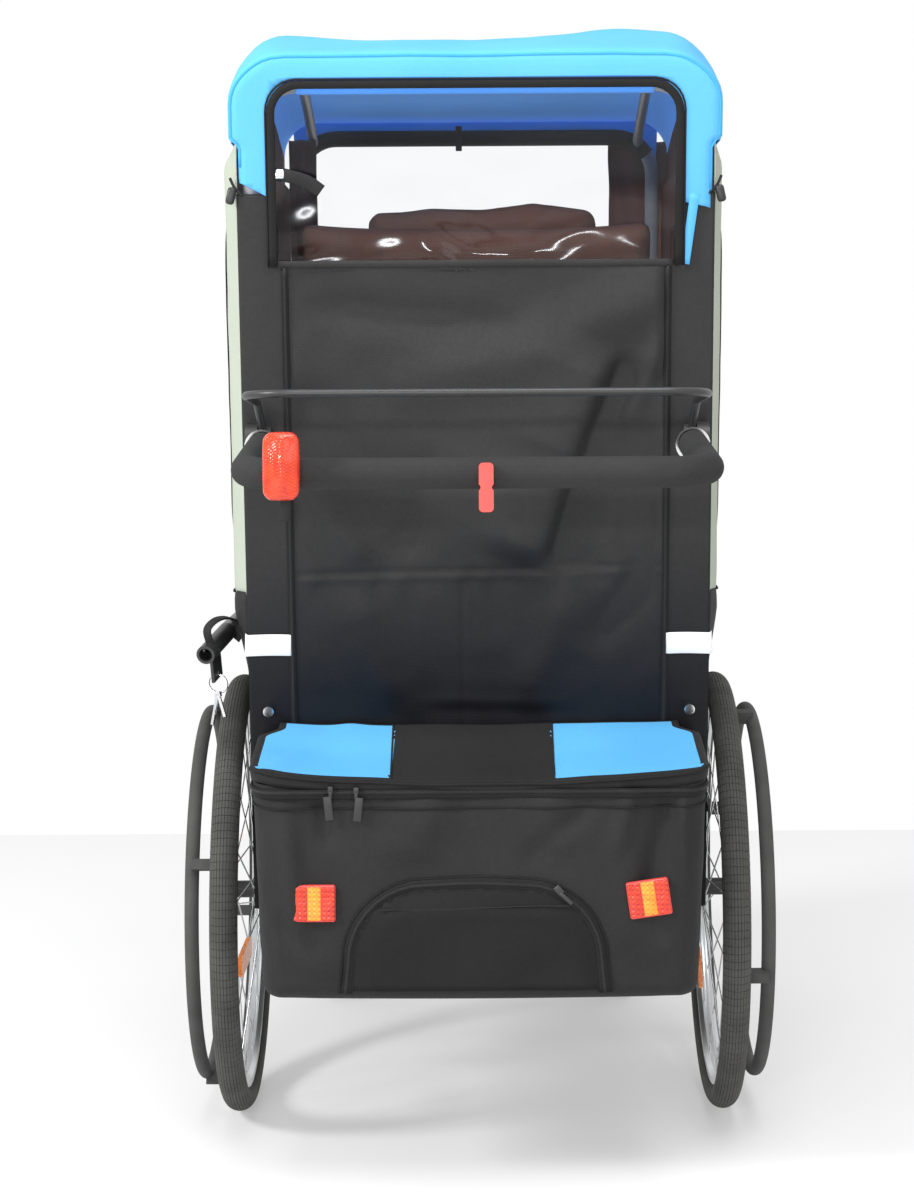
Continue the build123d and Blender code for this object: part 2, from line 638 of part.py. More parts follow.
def rear_window():
    """Clear sheet set in the window hole."""
    low, high = up_wall(WINDOW_LOW_Z), up_wall(WINDOW_TOP_Z)
    shape = Pos(0, (low + high) / 2) * RectangleRounded(
        2 * (WINDOW_HALF - SEAT_GAP), high - low - 2 * SEAT_GAP, WINDOW_R - SEAT_GAP)
    return extrude(wall_plane((FABRIC_T - PVC_T) / 2) * shape, amount=-PVC_T)


def side_outline(low_z, high_z, margin=0.0):
    """Side panel outline between the rear wall's inner face and the front posts."""
    rear, front = WALL_IN + margin, -margin
    return [(wall_y(low_z) + rear, low_z), (wall_y(high_z) + rear, high_z),
            (post_y(high_z) + front, high_z), (post_y(low_z) + front, low_z)]


def side_window_prism(side, gap):
    """Rounded window through one side panel."""
    outline = side_outline(TUB_TOP_Z + SIDE_WINDOW_MARGIN, SIDE_TOP_Z - SIDE_WINDOW_MARGIN, SIDE_WINDOW_MARGIN)
    face = make_face(Polyline([(0, y, z) for y, z in outline], close=True))
    face = fillet(face.vertices(), SIDE_WINDOW_R)
    face = offset(face, amount=-gap) if gap else face
    return Pos(side * BODY_HALF, 0, 0) * extrude(face, amount=100, dir=(1, 0, 0), both=True)


def side_sheet(side, thick, inset):
    """Slack sheet, bowed out between the rear wall and the posts, that leans with them."""
    outline = side_outline(TUB_TOP_Z, SIDE_TOP_Z)
    (rear_low, _), (rear_high, _), (front_high, _), (front_low, _) = outline
    x = side * (BODY_HALF - inset)
    bow = side * SIDE_BULGE
    middle = (rear_low + front_low) / 2

    def bowed(shift):
        ends = (x + shift, rear_low, TUB_TOP_Z), (x + bow + shift, middle, TUB_TOP_Z), (x + shift, front_low, TUB_TOP_Z)
        return ThreePointArc(*ends)

    outer, inner = bowed(0.0), bowed(-side * thick)
    ends = Line(outer @ 0, inner @ 0) + Line(outer @ 1, inner @ 1)
    lean = Vector(0, (rear_high - rear_low + front_high - front_low) / 2, SIDE_TOP_Z - TUB_TOP_Z)
    sheet = extrude(make_face(outer + inner + ends), amount=lean.length, dir=lean.normalized())
    return sheet & side_prism(outline, 2 * BODY_HALF)


def side_panel(side):
    return side_sheet(side, FABRIC_T, 0.0) - side_window_prism(side, 0.0)


def side_window(side):
    sheet = side_sheet(side, PVC_T, (FABRIC_T - PVC_T) / 2)
    return sheet & side_window_prism(side, SEAT_GAP)


def roof_circle():
    """Centre (y, z) and radius of the roof's arched outline through its rear edge, crown and front edge."""
    (ay, az), (by, bz), (cy, cz) = ((wall_y(ROOF_REAR_Z), ROOF_REAR_Z), (ROOF_CROWN_Y, ROOF_CROWN_Z), (ROOF_FRONT_Y, ROOF_FRONT_Z))
    d = 2 * (ay * (bz - cz) + by * (cz - az) + cy * (az - bz))
    a2, b2, c2 = ay * ay + az * az, by * by + bz * bz, cy * cy + cz * cz
    uy = (a2 * (bz - cz) + b2 * (cz - az) + c2 * (az - bz)) / d
    uz = (a2 * (cy - by) + b2 * (ay - cy) + c2 * (by - ay)) / d
    return uy, uz, sqrt((ay - uy) ** 2 + (az - uz) ** 2)


def roof_block(half, inset, corner):
    """Arched block with rounded top edges; an inset one runs on past both ends to hollow the first."""
    uy, uz, radius = roof_circle()
    radius -= inset
    past = 6.0 if inset else 0.0
    rear_a = degrees(atan2(ROOF_REAR_Z - uz, wall_y(ROOF_REAR_Z) - uy)) + past
    front_a = degrees(atan2(ROOF_FRONT_Z - uz, ROOF_FRONT_Y - uy)) - past
    low = ROOF_SKIRT_Z - (50 if inset else 0)

    def on_arc(angle):
        return 0, uy + radius * cos(radians(angle)), uz + radius * sin(radians(angle))

    rear, crown, front = on_arc(rear_a), on_arc((rear_a + front_a) / 2), on_arc(front_a)
    front_low = (0, front[1] + (front[2] - low) * rad_tan(POST_LEAN), low)
    rear_low = (0, rear[1] + (rear[2] - low) * rad_tan(WALL_LEAN) - (200 if inset else 0), low)
    outline = ThreePointArc(rear, crown, front) + Polyline(front, front_low, rear_low, rear)
    block = extrude(make_face(outline), amount=half, dir=(1, 0, 0), both=True)
    top = [e for e in block.edges() if e.geom_type == GeomType.CIRCLE]
    return fillet(top, corner)


def roof():
    """Canopy roof with side skirts, open at the front and over the rear window."""
    outer = roof_block(ROOF_HALF, 0.0, ROOF_CORNER_R)
    inner = roof_block(ROOF_HALF - FABRIC_T, FABRIC_T, ROOF_CORNER_R - FABRIC_T)
    return outer - inner


# Seat
def seat_legs():
    """Two U-shaped tubes that stand on the floor and carry the cushion."""
    foot = FLOOR_Z + FABRIC_T
    top = SEAT_LEG_TOP_Z - SEAT_LEG_R
    made = []
    for y in SEAT_LEG_YS:
        points = [(-SEAT_LEG_X, y, foot), (-SEAT_LEG_X, y, top), (SEAT_LEG_X, y, top), (SEAT_LEG_X, y, foot)]
        made.append(tube_along(FilletPolyline(*points, radius=SEAT_LEG_BEND_R), SEAT_LEG_R))
    return made


def seat_cushion():
    length = SEAT_FRONT_Y - SEAT_REAR_Y
    z = SEAT_LEG_TOP_Z + SEAT_GAP + SEAT_T / 2
    pad = Pos(0, (SEAT_FRONT_Y + SEAT_REAR_Y) / 2, z) * Box(2 * SEAT_HALF, length, SEAT_T)
    pad = fillet(pad.edges().filter_by(Axis.Z), 40)
    return fillet(pad.faces().sort_by(Axis.Z)[-1].edges(), 20)


def seat_back():
    inset = FABRIC_T + BACK_GAP
    low, high = up_wall(SEAT_LEG_TOP_Z + SEAT_T + 2 * SEAT_GAP, inset), up_wall(BACK_TOP_Z, inset)
    face = Pos(0, (low + high) / 2) * RectangleRounded(2 * SEAT_HALF, high - low, 40)
    pad = extrude(wall_plane(inset) * face, amount=-BACK_T)
    front = max(pad.faces(), key=lambda f: f.normal_at().Y)
    return fillet(front.edges(), 16)


def headrest():
    inset = FABRIC_T + BACK_GAP + BACK_T + SEAT_GAP
    high = up_wall(BACK_TOP_Z + HEADREST_RISE, inset + HEADREST_T)
    face = Pos(0, high - HEADREST_H / 2) * RectangleRounded(2 * HEADREST_HALF, HEADREST_H, HEADREST_CORNER_R)
    pad = extrude(wall_plane(inset) * face, amount=-HEADREST_T)
    front = max(pad.faces(), key=lambda f: f.normal_at().Y)
    return fillet(front.edges(), 16)


# Push handle and brake bail
def lying(x, y, z, radius, length):
    """Round solid along X with its middle at the given point."""
    return Pos(x, y, z) * (Rot(0, 90, 0) * Cylinder(radius, length))


EYE_OUT = HANDLE_HALF + HANDLE_EYE_T / 2


def handle_knuckles():
    """Fixed halves of the handle's joints: boss, foot on the wall and pin through the eye."""
    made = []
    for side in SIDES.values():
        inner = EYE_OUT + KNUCKLE_GAP
        x = side * (inner + KNUCKLE_T / 2)
        boss = lying(x, HANDLE_PIVOT_Y, HANDLE_PIVOT_Z, KNUCKLE_R, KNUCKLE_T)
        outline = [(HANDLE_PIVOT_Y, HANDLE_PIVOT_Z + KNUCKLE_R), (HANDLE_PIVOT_Y, HANDLE_PIVOT_Z - KNUCKLE_R),
                   (wall_y(HANDLE_PIVOT_Z - KNUCKLE_R), HANDLE_PIVOT_Z - KNUCKLE_R),
                   (wall_y(HANDLE_PIVOT_Z + KNUCKLE_R), HANDLE_PIVOT_Z + KNUCKLE_R)]
        foot = Pos(x, 0, 0) * side_prism(outline, KNUCKLE_T / 2)
        pin_l = HANDLE_EYE_T + 2 * KNUCKLE_GAP + 4
        pin = lying(side * (inner - pin_l / 2 + 2), HANDLE_PIVOT_Y, HANDLE_PIVOT_Z, HANDLE_PIN_R, pin_l)
        cap = lying(side * (HANDLE_HALF - HANDLE_EYE_T / 2 - KNUCKLE_GAP - 2), HANDLE_PIVOT_Y, HANDLE_PIVOT_Z, 9, 4)
        made.append(boss + foot + pin + cap)
    return made


def handle_path(start):
    """U-shaped centre line of the handle, beginning the given distance from the pivot."""
    run = sqrt(HANDLE_REACH ** 2 + HANDLE_DROP ** 2)
    share = start / run
    y0 = HANDLE_PIVOT_Y - HANDLE_REACH * share
    z0 = HANDLE_PIVOT_Z - HANDLE_DROP * share
    points = [(-HANDLE_HALF, y0, z0), (-HANDLE_HALF, HANDLE_BAR_Y, HANDLE_BAR_Z),
              (HANDLE_HALF, HANDLE_BAR_Y, HANDLE_BAR_Z), (HANDLE_HALF, y0, z0)]
    return FilletPolyline(*points, radius=HANDLE_BEND_R)


def handle_bar():
    """Bent tube with a flat eye on each end."""
    bar = tube_along(handle_path(0), HANDLE_TUBE_R)
    for side in SIDES.values():
        x = side * HANDLE_HALF
        bar += lying(x, HANDLE_PIVOT_Y, HANDLE_PIVOT_Z, HANDLE_EYE_R, HANDLE_EYE_T)
    for side in SIDES.values():
        x = side * HANDLE_HALF
        bar -= lying(x, HANDLE_PIVOT_Y, HANDLE_PIVOT_Z, HANDLE_PIN_R + RUN_FIT, 4 * HANDLE_EYE_T)
        slot = HANDLE_EYE_T
        for way in (-1, 1):
            bar -= lying(x + way * slot, HANDLE_PIVOT_Y, HANDLE_PIVOT_Z, HANDLE_EYE_R + 5, slot)
    return bar


def handle_grip():
    """Foam sleeve over the bar, its bends and most of the arms."""
    return tube_along(handle_path(GRIP_START), GRIP_R) - tube_along(handle_path(0), HANDLE_TUBE_R + SEAT_GAP)


def brake_bail():
    """Thin rod parallel to the handle; its feet stand on the handle's eyes."""
    knee_y, knee_z = HANDLE_PIVOT_Y - BAIL_KNEE_REACH, HANDLE_PIVOT_Z + BAIL_KNEE_RISE
    bar_y, bar_z = HANDLE_PIVOT_Y - BAIL_BAR_REACH, HANDLE_PIVOT_Z + BAIL_BAR_RISE
    points = [(-BAIL_HALF, knee_y, knee_z), (-BAIL_HALF, bar_y, bar_z), (BAIL_HALF, bar_y, bar_z), (BAIL_HALF, knee_y, knee_z)]
    bail = tube_along(FilletPolyline(*points, radius=BAIL_BEND_R), BAIL_R)
    for side in SIDES.values():
        knee = (side * BAIL_HALF, knee_y, knee_z)
        foot = (side * HANDLE_HALF, HANDLE_PIVOT_Y, HANDLE_PIVOT_Z)
        bail += rod(foot, knee, BAIL_R) + Pos(*knee) * Sphere(BAIL_R)
    for side in SIDES.values():
        bail -= lying(side * HANDLE_HALF, HANDLE_PIVOT_Y, HANDLE_PIVOT_Z, HANDLE_EYE_R + SEAT_GAP, 4 * HANDLE_EYE_T)
    return bail


def brake_latch():
    """Flat two-lobed clip on the rear of the foam."""
    face = RectangleRounded(LATCH_W, LATCH_H, LATCH_CORNER_R)
    for way in (-1, 1):
        face -= Pos(way * (LATCH_W / 2 + LATCH_WAIST_R / 2), 0) * Circle(LATCH_WAIST_R)
    y = HANDLE_BAR_Y - GRIP_R - SEAT_GAP
    plane = Plane((LATCH_X, y, HANDLE_BAR_Z - LATCH_DROP), x_dir=(1, 0, 0), z_dir=(0, -1, 0))
    return extrude(plane * face, amount=LATCH_T)


def rear_lamp():
    """Lamp body on a band round the foam."""
    y = HANDLE_BAR_Y - GRIP_R - SEAT_GAP - LAMP_BAND_T - LAMP_D / 2
    body = fillet(Box(LAMP_W, LAMP_D, LAMP_H).edges().filter_by(Axis.Y), LAMP_EDGE_R)
    body = fillet(body.faces().sort_by(Axis.Y)[0].edges(), 6)
    lamp = Pos(LAMP_X, y, HANDLE_BAR_Z + LAMP_RISE) * body
    band_r = GRIP_R + SEAT_GAP
    x = LAMP_X + LAMP_BAND_IN
    band = lying(x, HANDLE_BAR_Y, HANDLE_BAR_Z, band_r + LAMP_BAND_T, LAMP_BAND_W)
    foot = Pos(x, y + LAMP_D / 2, HANDLE_BAR_Z) * Box(LAMP_BAND_W, 2 * LAMP_BAND_T + 8, 20)
    return lamp + band + foot - lying(x, HANDLE_BAR_Y, HANDLE_BAR_Z, band_r, 2 * LAMP_BAND_W)


# Rear bag
def bag_block(inset, open_top):
    """Tapered bag body against the leaning wall; a second, smaller one hollows it."""
    top = BAG_BACK_Z + 100 if open_top else BAG_BACK_Z
    fall = (BAG_BACK_Z - BAG_REAR_Z) / (wall_y(BAG_BACK_Z) - BAG_REAR_Y)
    rear, foot = BAG_REAR_Y + inset, BAG_FOOT_Z + inset
    gap = BAG_GAP + inset / cos(radians(WALL_LEAN))
    rear_top = BAG_REAR_Z + (100 if open_top else 0) + (rear - BAG_REAR_Y) * fall
    outline = [(wall_y(foot) - gap, foot), (wall_y(top) - gap, top), (rear, rear_top), (rear, foot)]
    taper = (BAG_TOP_HALF - BAG_FOOT_HALF) / (BAG_BACK_Z - BAG_FOOT_Z)
    high, low = top - BAG_FOOT_Z, foot - BAG_FOOT_Z
    wide, narrow = BAG_FOOT_HALF + taper * high - inset, BAG_FOOT_HALF + taper * low - inset
    section = make_face(Polyline([(-narrow, 0, foot), (narrow, 0, foot), (wide, 0, top), (-wide, 0, top)], close=True))
    block = extrude(section, amount=FAR, dir=(0, 1, 0), both=True) & side_prism(outline, FAR)
    rear_face = block.faces().sort_by(Axis.Y)[0]
    upright = [e for e in rear_face.edges() if abs(e.tangent_at(0.5).Z) > 0.5]
    block = fillet(upright, BAG_EDGE_R - inset)
    keel = block.faces().sort_by(Axis.Z)[0]
    front = keel.edges().sort_by(Axis.Y)[-1]
    return fillet([e for e in keel.edges() if e != front], BAG_EDGE_R - inset)


def bag_body():
    return bag_block(0.0, False) - bag_block(FABRIC_T, True)


def bag_lid():
    """Lid that follows the bag's sloping top, its front corners cut back beside the knobs."""
    fall = atan2(BAG_BACK_Z - BAG_REAR_Z, wall_y(BAG_BACK_Z) - BAG_REAR_Y)
    length = (LID_HINGE_Y - BAG_REAR_Y) / cos(fall)
    half = BAG_TOP_HALF
    plane = Plane((0, LID_HINGE_Y, LID_HINGE_Z), x_dir=(1, 0, 0), z_dir=(0, -sin(fall), cos(fall)))
    points = [(-half + LID_NOTCH, 0), (half - LID_NOTCH, 0), (half - LID_NOTCH, -LID_NOTCH_L), (half, -LID_NOTCH_L - LID_NOTCH),
              (half, -length), (-half, -length), (-half, -LID_NOTCH_L - LID_NOTCH), (-half + LID_NOTCH, -LID_NOTCH_L)]
    sheet = extrude(plane * make_face(Polyline(points, close=True)), amount=-LID_T)
    corners = [e for e in sheet.edges() if abs(e.tangent_at(0.5).Z) > 0.9 and e.center().Y < BAG_REAR_Y + 40]
    return fillet(corners, LID_CORNER_R)


def bag_pocket():
    """D-shaped pocket on the rear of the bag."""
    y = BAG_REAR_Y - BAG_GAP
    low, top = BAG_FOOT_Z + POCKET_LOW, BAG_FOOT_Z + POCKET_TOP
    corners = [(POCKET_LEFT, low), (POCKET_RIGHT, low), (POCKET_RIGHT, top), (POCKET_LEFT, top)]
    face = make_face(Polyline([(x, y, z) for x, z in corners], close=True))
    face = fillet(sorted(face.vertices(), key=lambda v: v.Z)[-2:], POCKET_ARCH_R)
    pocket = extrude(face, amount=POCKET_T, dir=(0, -1, 0))
    return fillet(pocket.faces().sort_by(Axis.Y)[0].edges(), 6)


def bag_reflectors():
    made = []
    for x, z, tilt in BAG_REFLECTORS:
        plate = fillet(Box(BAG_REFLECTOR_W, BAG_REFLECTOR_T, BAG_REFLECTOR_H).edges().filter_by(Axis.Y), BAG_REFLECTOR_R)
        y = BAG_REAR_Y - BAG_GAP - BAG_REFLECTOR_T / 2
        made.append(Pos(x, y, BAG_FOOT_Z + z) * plate.rotate(Axis.Y, tilt))
    return made


def wall_knobs():
    """Fastener knobs at the bag's upper corners: stem and rounded head."""
    made = []
    for side in SIDES.values():
        plane = wall_plane() * Pos(side * KNOB_X, up_wall(KNOB_Z), 0)
        stem = plane * (Pos(0, 0, KNOB_L / 2) * Cylinder(KNOB_R * 0.55, KNOB_L))
        head = plane * (Pos(0, 0, KNOB_L - 3) * Cylinder(KNOB_R, 6))
        made.append(stem + head)
    return made


def reflective_bands():
    made = []
    low, high = up_wall(BAND_Z - BAND_H / 2), up_wall(BAND_Z + BAND_H / 2)
    for side in SIDES.values():
        middle = side * (BAND_IN_X + BODY_HALF) / 2
        face = wall_plane() * (Pos(middle, (low + high) / 2) * Rectangle(BODY_HALF - BAND_IN_X, high - low))
        made.append(extrude(face, amount=BAND_T))
    return made


# Tow arm
ARM_SIDE = -1 if ARM_X < 0 else 1
TOW_HOLE_R = 4.0
TOW_HOLE_DOWN = -ARM_R - TOW_PLATE_H + 14      # ring's hole below the coupler's centre line


def coupler_plane(along):
    """Plane across the coupler at a distance from the arm's elbow, looking out of its mouth."""
    out = Vector(ARM_SIDE * COUPLER_OUT, -COUPLER_BACK, -COUPLER_FALL).normalized()
    return Plane(Vector(ARM_X, ARM_REAR_Y, ARM_Z) + out * along, z_dir=out, x_dir=(1, out.X / -out.Y, 0))


def tow_bracket():
    """Clevis on the front post: block ahead of the post, two plates and the upright pin."""
    inner = ARM_SIDE * (HOOP_HALF - BRACKET_IN)
    outer = ARM_X + ARM_SIDE * ARM_EYE_R
    middle, width = (inner + outer) / 2, abs(outer - inner)
    block_x = ARM_SIDE * HOOP_HALF
    half = ARM_EYE_H / 2 + BRACKET_GAP
    bracket = None
    for way in (-1, 1):
        plate = Pos(middle, ARM_PIVOT_Y, ARM_Z + way * (half + BRACKET_T / 2)) * Box(width, BRACKET_D, BRACKET_T)
        bracket = plate if bracket is None else bracket + plate
    block_w = 2 * (abs(block_x) - abs(inner))
    bracket += Pos(inner + ARM_SIDE * block_w / 2, ARM_PIVOT_Y, ARM_Z) * Box(block_w, BRACKET_D, 2 * half + 2 * BRACKET_T)
    bracket += Pos(ARM_X, ARM_PIVOT_Y, ARM_Z) * Cylinder(ARM_PIN_R, 2 * half + 2 * BRACKET_T + 6)
    return bracket - hoop(post_plane(), HOOP_HALF, FRONT_HOOP_TOP, FLOOR_Z, SEAT_GAP)


def tow_arm():
    """Straight tube with an upright eye in front and a bent neck behind."""
    start = (ARM_X, ARM_PIVOT_Y, ARM_Z)
    elbow = (ARM_X, ARM_REAR_Y, ARM_Z)
    neck = coupler_plane(COUPLER_NECK)
    arm = rod(start, elbow, ARM_R) + Pos(*elbow) * Sphere(ARM_R)
    arm += rod(elbow, neck.origin, ARM_R)
    arm += Pos(*start) * Cylinder(ARM_EYE_R, ARM_EYE_H)
    return arm - Pos(*start) * Cylinder(ARM_PIN_R + RUN_FIT, 2 * ARM_EYE_H)


def tow_coupler():
    """Sleeve with an open mouth, a cross hole for the hitch pin and a hanging plate."""
    sleeve = extrude(coupler_plane(COUPLER_NECK) * Circle(ARM_R), amount=COUPLER_L)
    end = COUPLER_NECK + COUPLER_L
    plate_at = coupler_plane(end - COUPLER_L / 2)
    plate = plate_at * (Pos(0, -ARM_R - TOW_PLATE_H / 2 + 6, 0) * Box(TOW_PLATE_T, TOW_PLATE_H, TOW_PLATE_L))
    plate -= plate_at * (Pos(0, TOW_HOLE_DOWN, 0) * (Rot(0, 90, 0) * Cylinder(TOW_HOLE_R, 20)))
    sleeve += plate
    sleeve -= extrude(coupler_plane(end) * Circle(COUPLER_BORE_R), amount=-COUPLER_BORE_L)
    cross = coupler_plane(end - PIN_HOLE_IN) * (Rot(0, 90, 0) * Cylinder(PIN_HOLE_R, 4 * ARM_R))
    return sleeve - cross


def tow_ring():
    """Split ring through the plate's hole."""
    plate_at = coupler_plane(COUPLER_NECK + COUPLER_L / 2)
    hang = TOW_HOLE_DOWN - (TOW_HOLE_R - TOW_RING_WIRE_R - SEAT_GAP) - TOW_RING_R
    centre = plate_at * Pos(0, hang, 0)
    return centre * Torus(TOW_RING_R, TOW_RING_WIRE_R)


def main():
    os.makedirs("parts", exist_ok=True)
    nodes = {}
    for name, side in SIDES.items():
        x = side * WHEEL_X
        nodes[f"tyre_{name}"] = tyre(x)
        nodes[f"rim_{name}"] = rim(x)
        nodes[f"hub_{name}"] = hub(x)
        nodes[f"spokes_{name}"] = spokes(x, SPOKE_PHASE[name])
        nodes[f"hand_rim_{name}"] = hand_rim(x, side, TAB_PHASE[name])
        nodes[f"spoke_reflectors_{name}"] = spoke_reflectors(
            x, side, SPOKE_PHASE[name], REFLECTOR_SPOKES[name])
        nodes[f"axle_{name}"] = axle(side)
        nodes[f"caster_housing_{name}"] = caster_housing(side)
        nodes[f"caster_fork_{name}"] = caster_fork(side)
        nodes[f"caster_tyre_{name}"] = caster_tyre(side)
        nodes[f"caster_core_{name}"] = caster_core(side)
        nodes[f"side_panel_{name}"] = side_panel(side)
        nodes[f"side_window_{name}"] = side_window(side)
    nodes["side_rails"] = side_rails()
    nodes["cross_tubes"] = cross_tubes()
    nodes["rear_hoop"] = rear_hoop()
    nodes["front_hoop"] = front_hoop()
    nodes["roof_rails"] = roof_rails()
    nodes["tub"] = tub()
    nodes["rear_wall"] = rear_wall()
    nodes["canopy_back"] = canopy_back()
    nodes["rear_window"] = rear_window()
    nodes["roof"] = roof()
    nodes["seat_legs"] = seat_legs()
    nodes["seat_cushion"] = seat_cushion()
    nodes["seat_back"] = seat_back()
    nodes["headrest"] = headrest()
    nodes["handle_knuckles"] = handle_knuckles()
    nodes["handle_bar"] = handle_bar()
    nodes["handle_grip"] = handle_grip()
    nodes["brake_bail"] = brake_bail()
    nodes["brake_latch"] = brake_latch()
    nodes["rear_lamp"] = rear_lamp()
    nodes["bag_body"] = bag_body()
    nodes["bag_lid"] = bag_lid()
    nodes["bag_pocket"] = bag_pocket()
    nodes["bag_reflectors"] = bag_reflectors()
    nodes["wall_knobs"] = wall_knobs()
    nodes["reflective_bands"] = reflective_bands()
    nodes["tow_bracket"] = tow_bracket()
    nodes["tow_arm"] = tow_arm()
    nodes["tow_coupler"] = tow_coupler()
    nodes["tow_ring"] = tow_ring()
    for name, shape in nodes.items():
        solids = shape if isinstance(shape, list) else [shape]
        moved = [Pos(0, ORIGIN_SHIFT_Y, 0) * s for s in solids]
        export_step(Compound(children=moved) if len(moved) > 1 else moved[0], f"parts/{name}.step")


if __name__ == "__main__":
    main()
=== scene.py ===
import math

import bmesh
import bpy
from mathutils import Matrix, Vector, noise


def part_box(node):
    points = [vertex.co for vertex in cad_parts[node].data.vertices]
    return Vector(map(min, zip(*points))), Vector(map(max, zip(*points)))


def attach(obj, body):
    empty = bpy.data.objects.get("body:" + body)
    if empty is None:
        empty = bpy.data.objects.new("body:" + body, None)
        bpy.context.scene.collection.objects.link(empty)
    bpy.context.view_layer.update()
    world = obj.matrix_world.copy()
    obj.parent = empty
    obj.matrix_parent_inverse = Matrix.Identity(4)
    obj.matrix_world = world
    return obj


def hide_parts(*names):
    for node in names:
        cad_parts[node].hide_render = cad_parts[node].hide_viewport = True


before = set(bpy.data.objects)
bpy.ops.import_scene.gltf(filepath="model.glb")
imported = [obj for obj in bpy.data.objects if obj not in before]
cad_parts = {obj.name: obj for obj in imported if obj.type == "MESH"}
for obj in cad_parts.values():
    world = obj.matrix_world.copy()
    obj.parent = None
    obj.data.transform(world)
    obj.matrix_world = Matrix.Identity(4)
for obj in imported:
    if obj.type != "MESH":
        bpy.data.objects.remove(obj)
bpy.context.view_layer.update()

# Sizes in millimetres, with y = 0 at the wheels' axle, as the part is laid out
SHIFT_Y = 500 * (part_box("tyre_left")[0].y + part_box("tyre_left")[1].y)
FLOOR_Z = 317.5
WALL_LEAN, POST_LEAN = math.radians(11.8), math.radians(10.5)
WALL_Y0, POST_Y0 = -198.0, 684.0            # rear wall and front posts at floor height
WALL_HALF = 304.0
WALL_TOP = 1264.0
SEAM_X = 245.0
SEAM_Z = 771.0                              # seam across the rear wall
TUB_TOP, APRON_TOP = 750.0, 570.0
APRON_AHEAD = 18.0
NOSE_Y, NOSE_Z = 706.0, 400.0
ROOF_HALF = 313.0
ROOF_REAR_Z, ROOF_LOW_Z = 1428.0, 1236.0
ROOF_LENGTH = 930.0
ROOF_CROWN, ROOF_FRONT = (50.0, 1515.0), (500.0, 1455.0)    # y and z
ROOF_CORNER, ROOF_EDGE = 56.0, 14.0         # rounding at the shoulders and round the rear
DROP_DEEP = 20                              # depth of the canopy's rear drop
CANOPY_OUT = 5.0
SKIRT_Z = 1331.0
ROOF_RISE, SKIRT_RISE = ROOF_REAR_Z - ROOF_LOW_Z, SKIRT_Z - ROOF_LOW_Z
WINDOW_HALF, WINDOW_LOW, WINDOW_TOP, WINDOW_R = 262.0, 1177.0, 1403.0, 38.0
SIDE_WINDOW_LOW, SIDE_WINDOW_TOP = TUB_TOP + 70, 1230.0
SIDE_WINDOW_REAR, SIDE_WINDOW_FRONT, SIDE_WINDOW_R = 75.0, 70.0, 60.0
HOOP_R, HOOP_BEND = 11.0, 60.0
BACK_T, HEADREST_T, BACK_GAP = 45.0, 40.0, 46.0      # seat back, headrest, and wall to seat back
WHEEL_R, WHEEL_X, TYRE_R, TYRE_HALF = 305.0, 337.0, 18.0, 18.4
GRIP_R = 18.5
BAG_REAR, BAG_FOOT, BAG_TOP = -460.0, 254.0, 562.0
BAG_HALF, BAG_HIGH, BAG_CORNER = 273.0, 265.0, 28.0
BAG_FLARE, BAG_FALL = 13.0, 36.0            # growth of its half width, and the slope of its top
POCKET_LEFT, POCKET_RIGHT, POCKET_TOP, POCKET_R = -170.0, 157.0, 404.0, 100.0
LID_Z, LID_FALL, LID_HALF = 576.0, 34.0, 287.0
LID_SPLITS = (-112.0, 95.0)                 # edges of the lid's middle panel
SIDES = {"left": -1, "right": 1}
WALL_OUT = Vector((0, -math.cos(WALL_LEAN), -math.sin(WALL_LEAN)))
BACK = Vector((0, -1, 0))


def wall_y(z):
    return WALL_Y0 - (z - FLOOR_Z) * math.tan(WALL_LEAN)


def post_y(z):
    return POST_Y0 - (z - FLOOR_Z) * math.tan(POST_LEAN)


def on_wall(x, z, out=0.0):
    return Vector((x, wall_y(z), z)) + WALL_OUT * out


def ease(low, high, value):
    t = min(1.0, max(0.0, (value - low) / (high - low)))
    return t * t * (3 - 2 * t)


def ripple(point, size, seed=0.0):
    return noise.noise(Vector(point) / size + Vector((seed, 2.3 * seed, 0.7 * seed)))


def bell(value, width):
    return math.exp(-(value / width) ** 2)


def quarter(steps, first=0):
    """Angles of a quarter turn."""
    return [math.pi / 2 * k / steps for k in range(first, steps + 1)]


def box_mm(node):
    low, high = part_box(node)
    return low * 1000 - Vector((0, SHIFT_Y, 0)), high * 1000 - Vector((0, SHIFT_Y, 0))


def folds(table, x, z, early, late):
    """Height of straight folds at a point. A large one falls away gently on one side."""
    total = 0.0
    for x0, z0, x1, z1, width, height in table:
        dx, dz = x1 - x0, z1 - z0
        length = math.hypot(dx, dz)
        t = ((x - x0) * dx + (z - z0) * dz) / length ** 2
        side = ((x - x0) * dz - (z - z0) * dx) / length
        fade = ease(early, late, t) * ease(early, late, 1 - t)
        gentle = side * dz > 0 if height < -8 else side * dz < 0 and height > 10
        total += height * fade * bell(side, 2.6 * width if gentle else width)
    return total


# Materials
class Value:
    """One shader value. Arithmetic on it adds Math nodes."""

    def __init__(self, tree, socket):
        self.tree, self.socket = tree, socket

    def math(self, operation, *values):
        node = self.tree.nodes.new("ShaderNodeMath")
        node.operation = operation
        for socket, value in zip(node.inputs, values):
            if isinstance(value, Value):
                self.tree.links.new(value.socket, socket)
            else:
                socket.default_value = value
        return Value(self.tree, node.outputs[0])

    def __add__(self, other): return self.math("ADD", self, other)
    def __radd__(self, other): return self.math("ADD", other, self)
    def __sub__(self, other): return self.math("SUBTRACT", self, other)
    def __rsub__(self, other): return self.math("SUBTRACT", other, self)
    def __mul__(self, other): return self.math("MULTIPLY", self, other)
    def __rmul__(self, other): return self.math("MULTIPLY", other, self)
    def __truediv__(self, other): return self.math("DIVIDE", self, other)
    def sine(self): return self.math("SINE", self)
    def clamp(self): return self.math("MAXIMUM", self.math("MINIMUM", self, 1.0), 0.0)


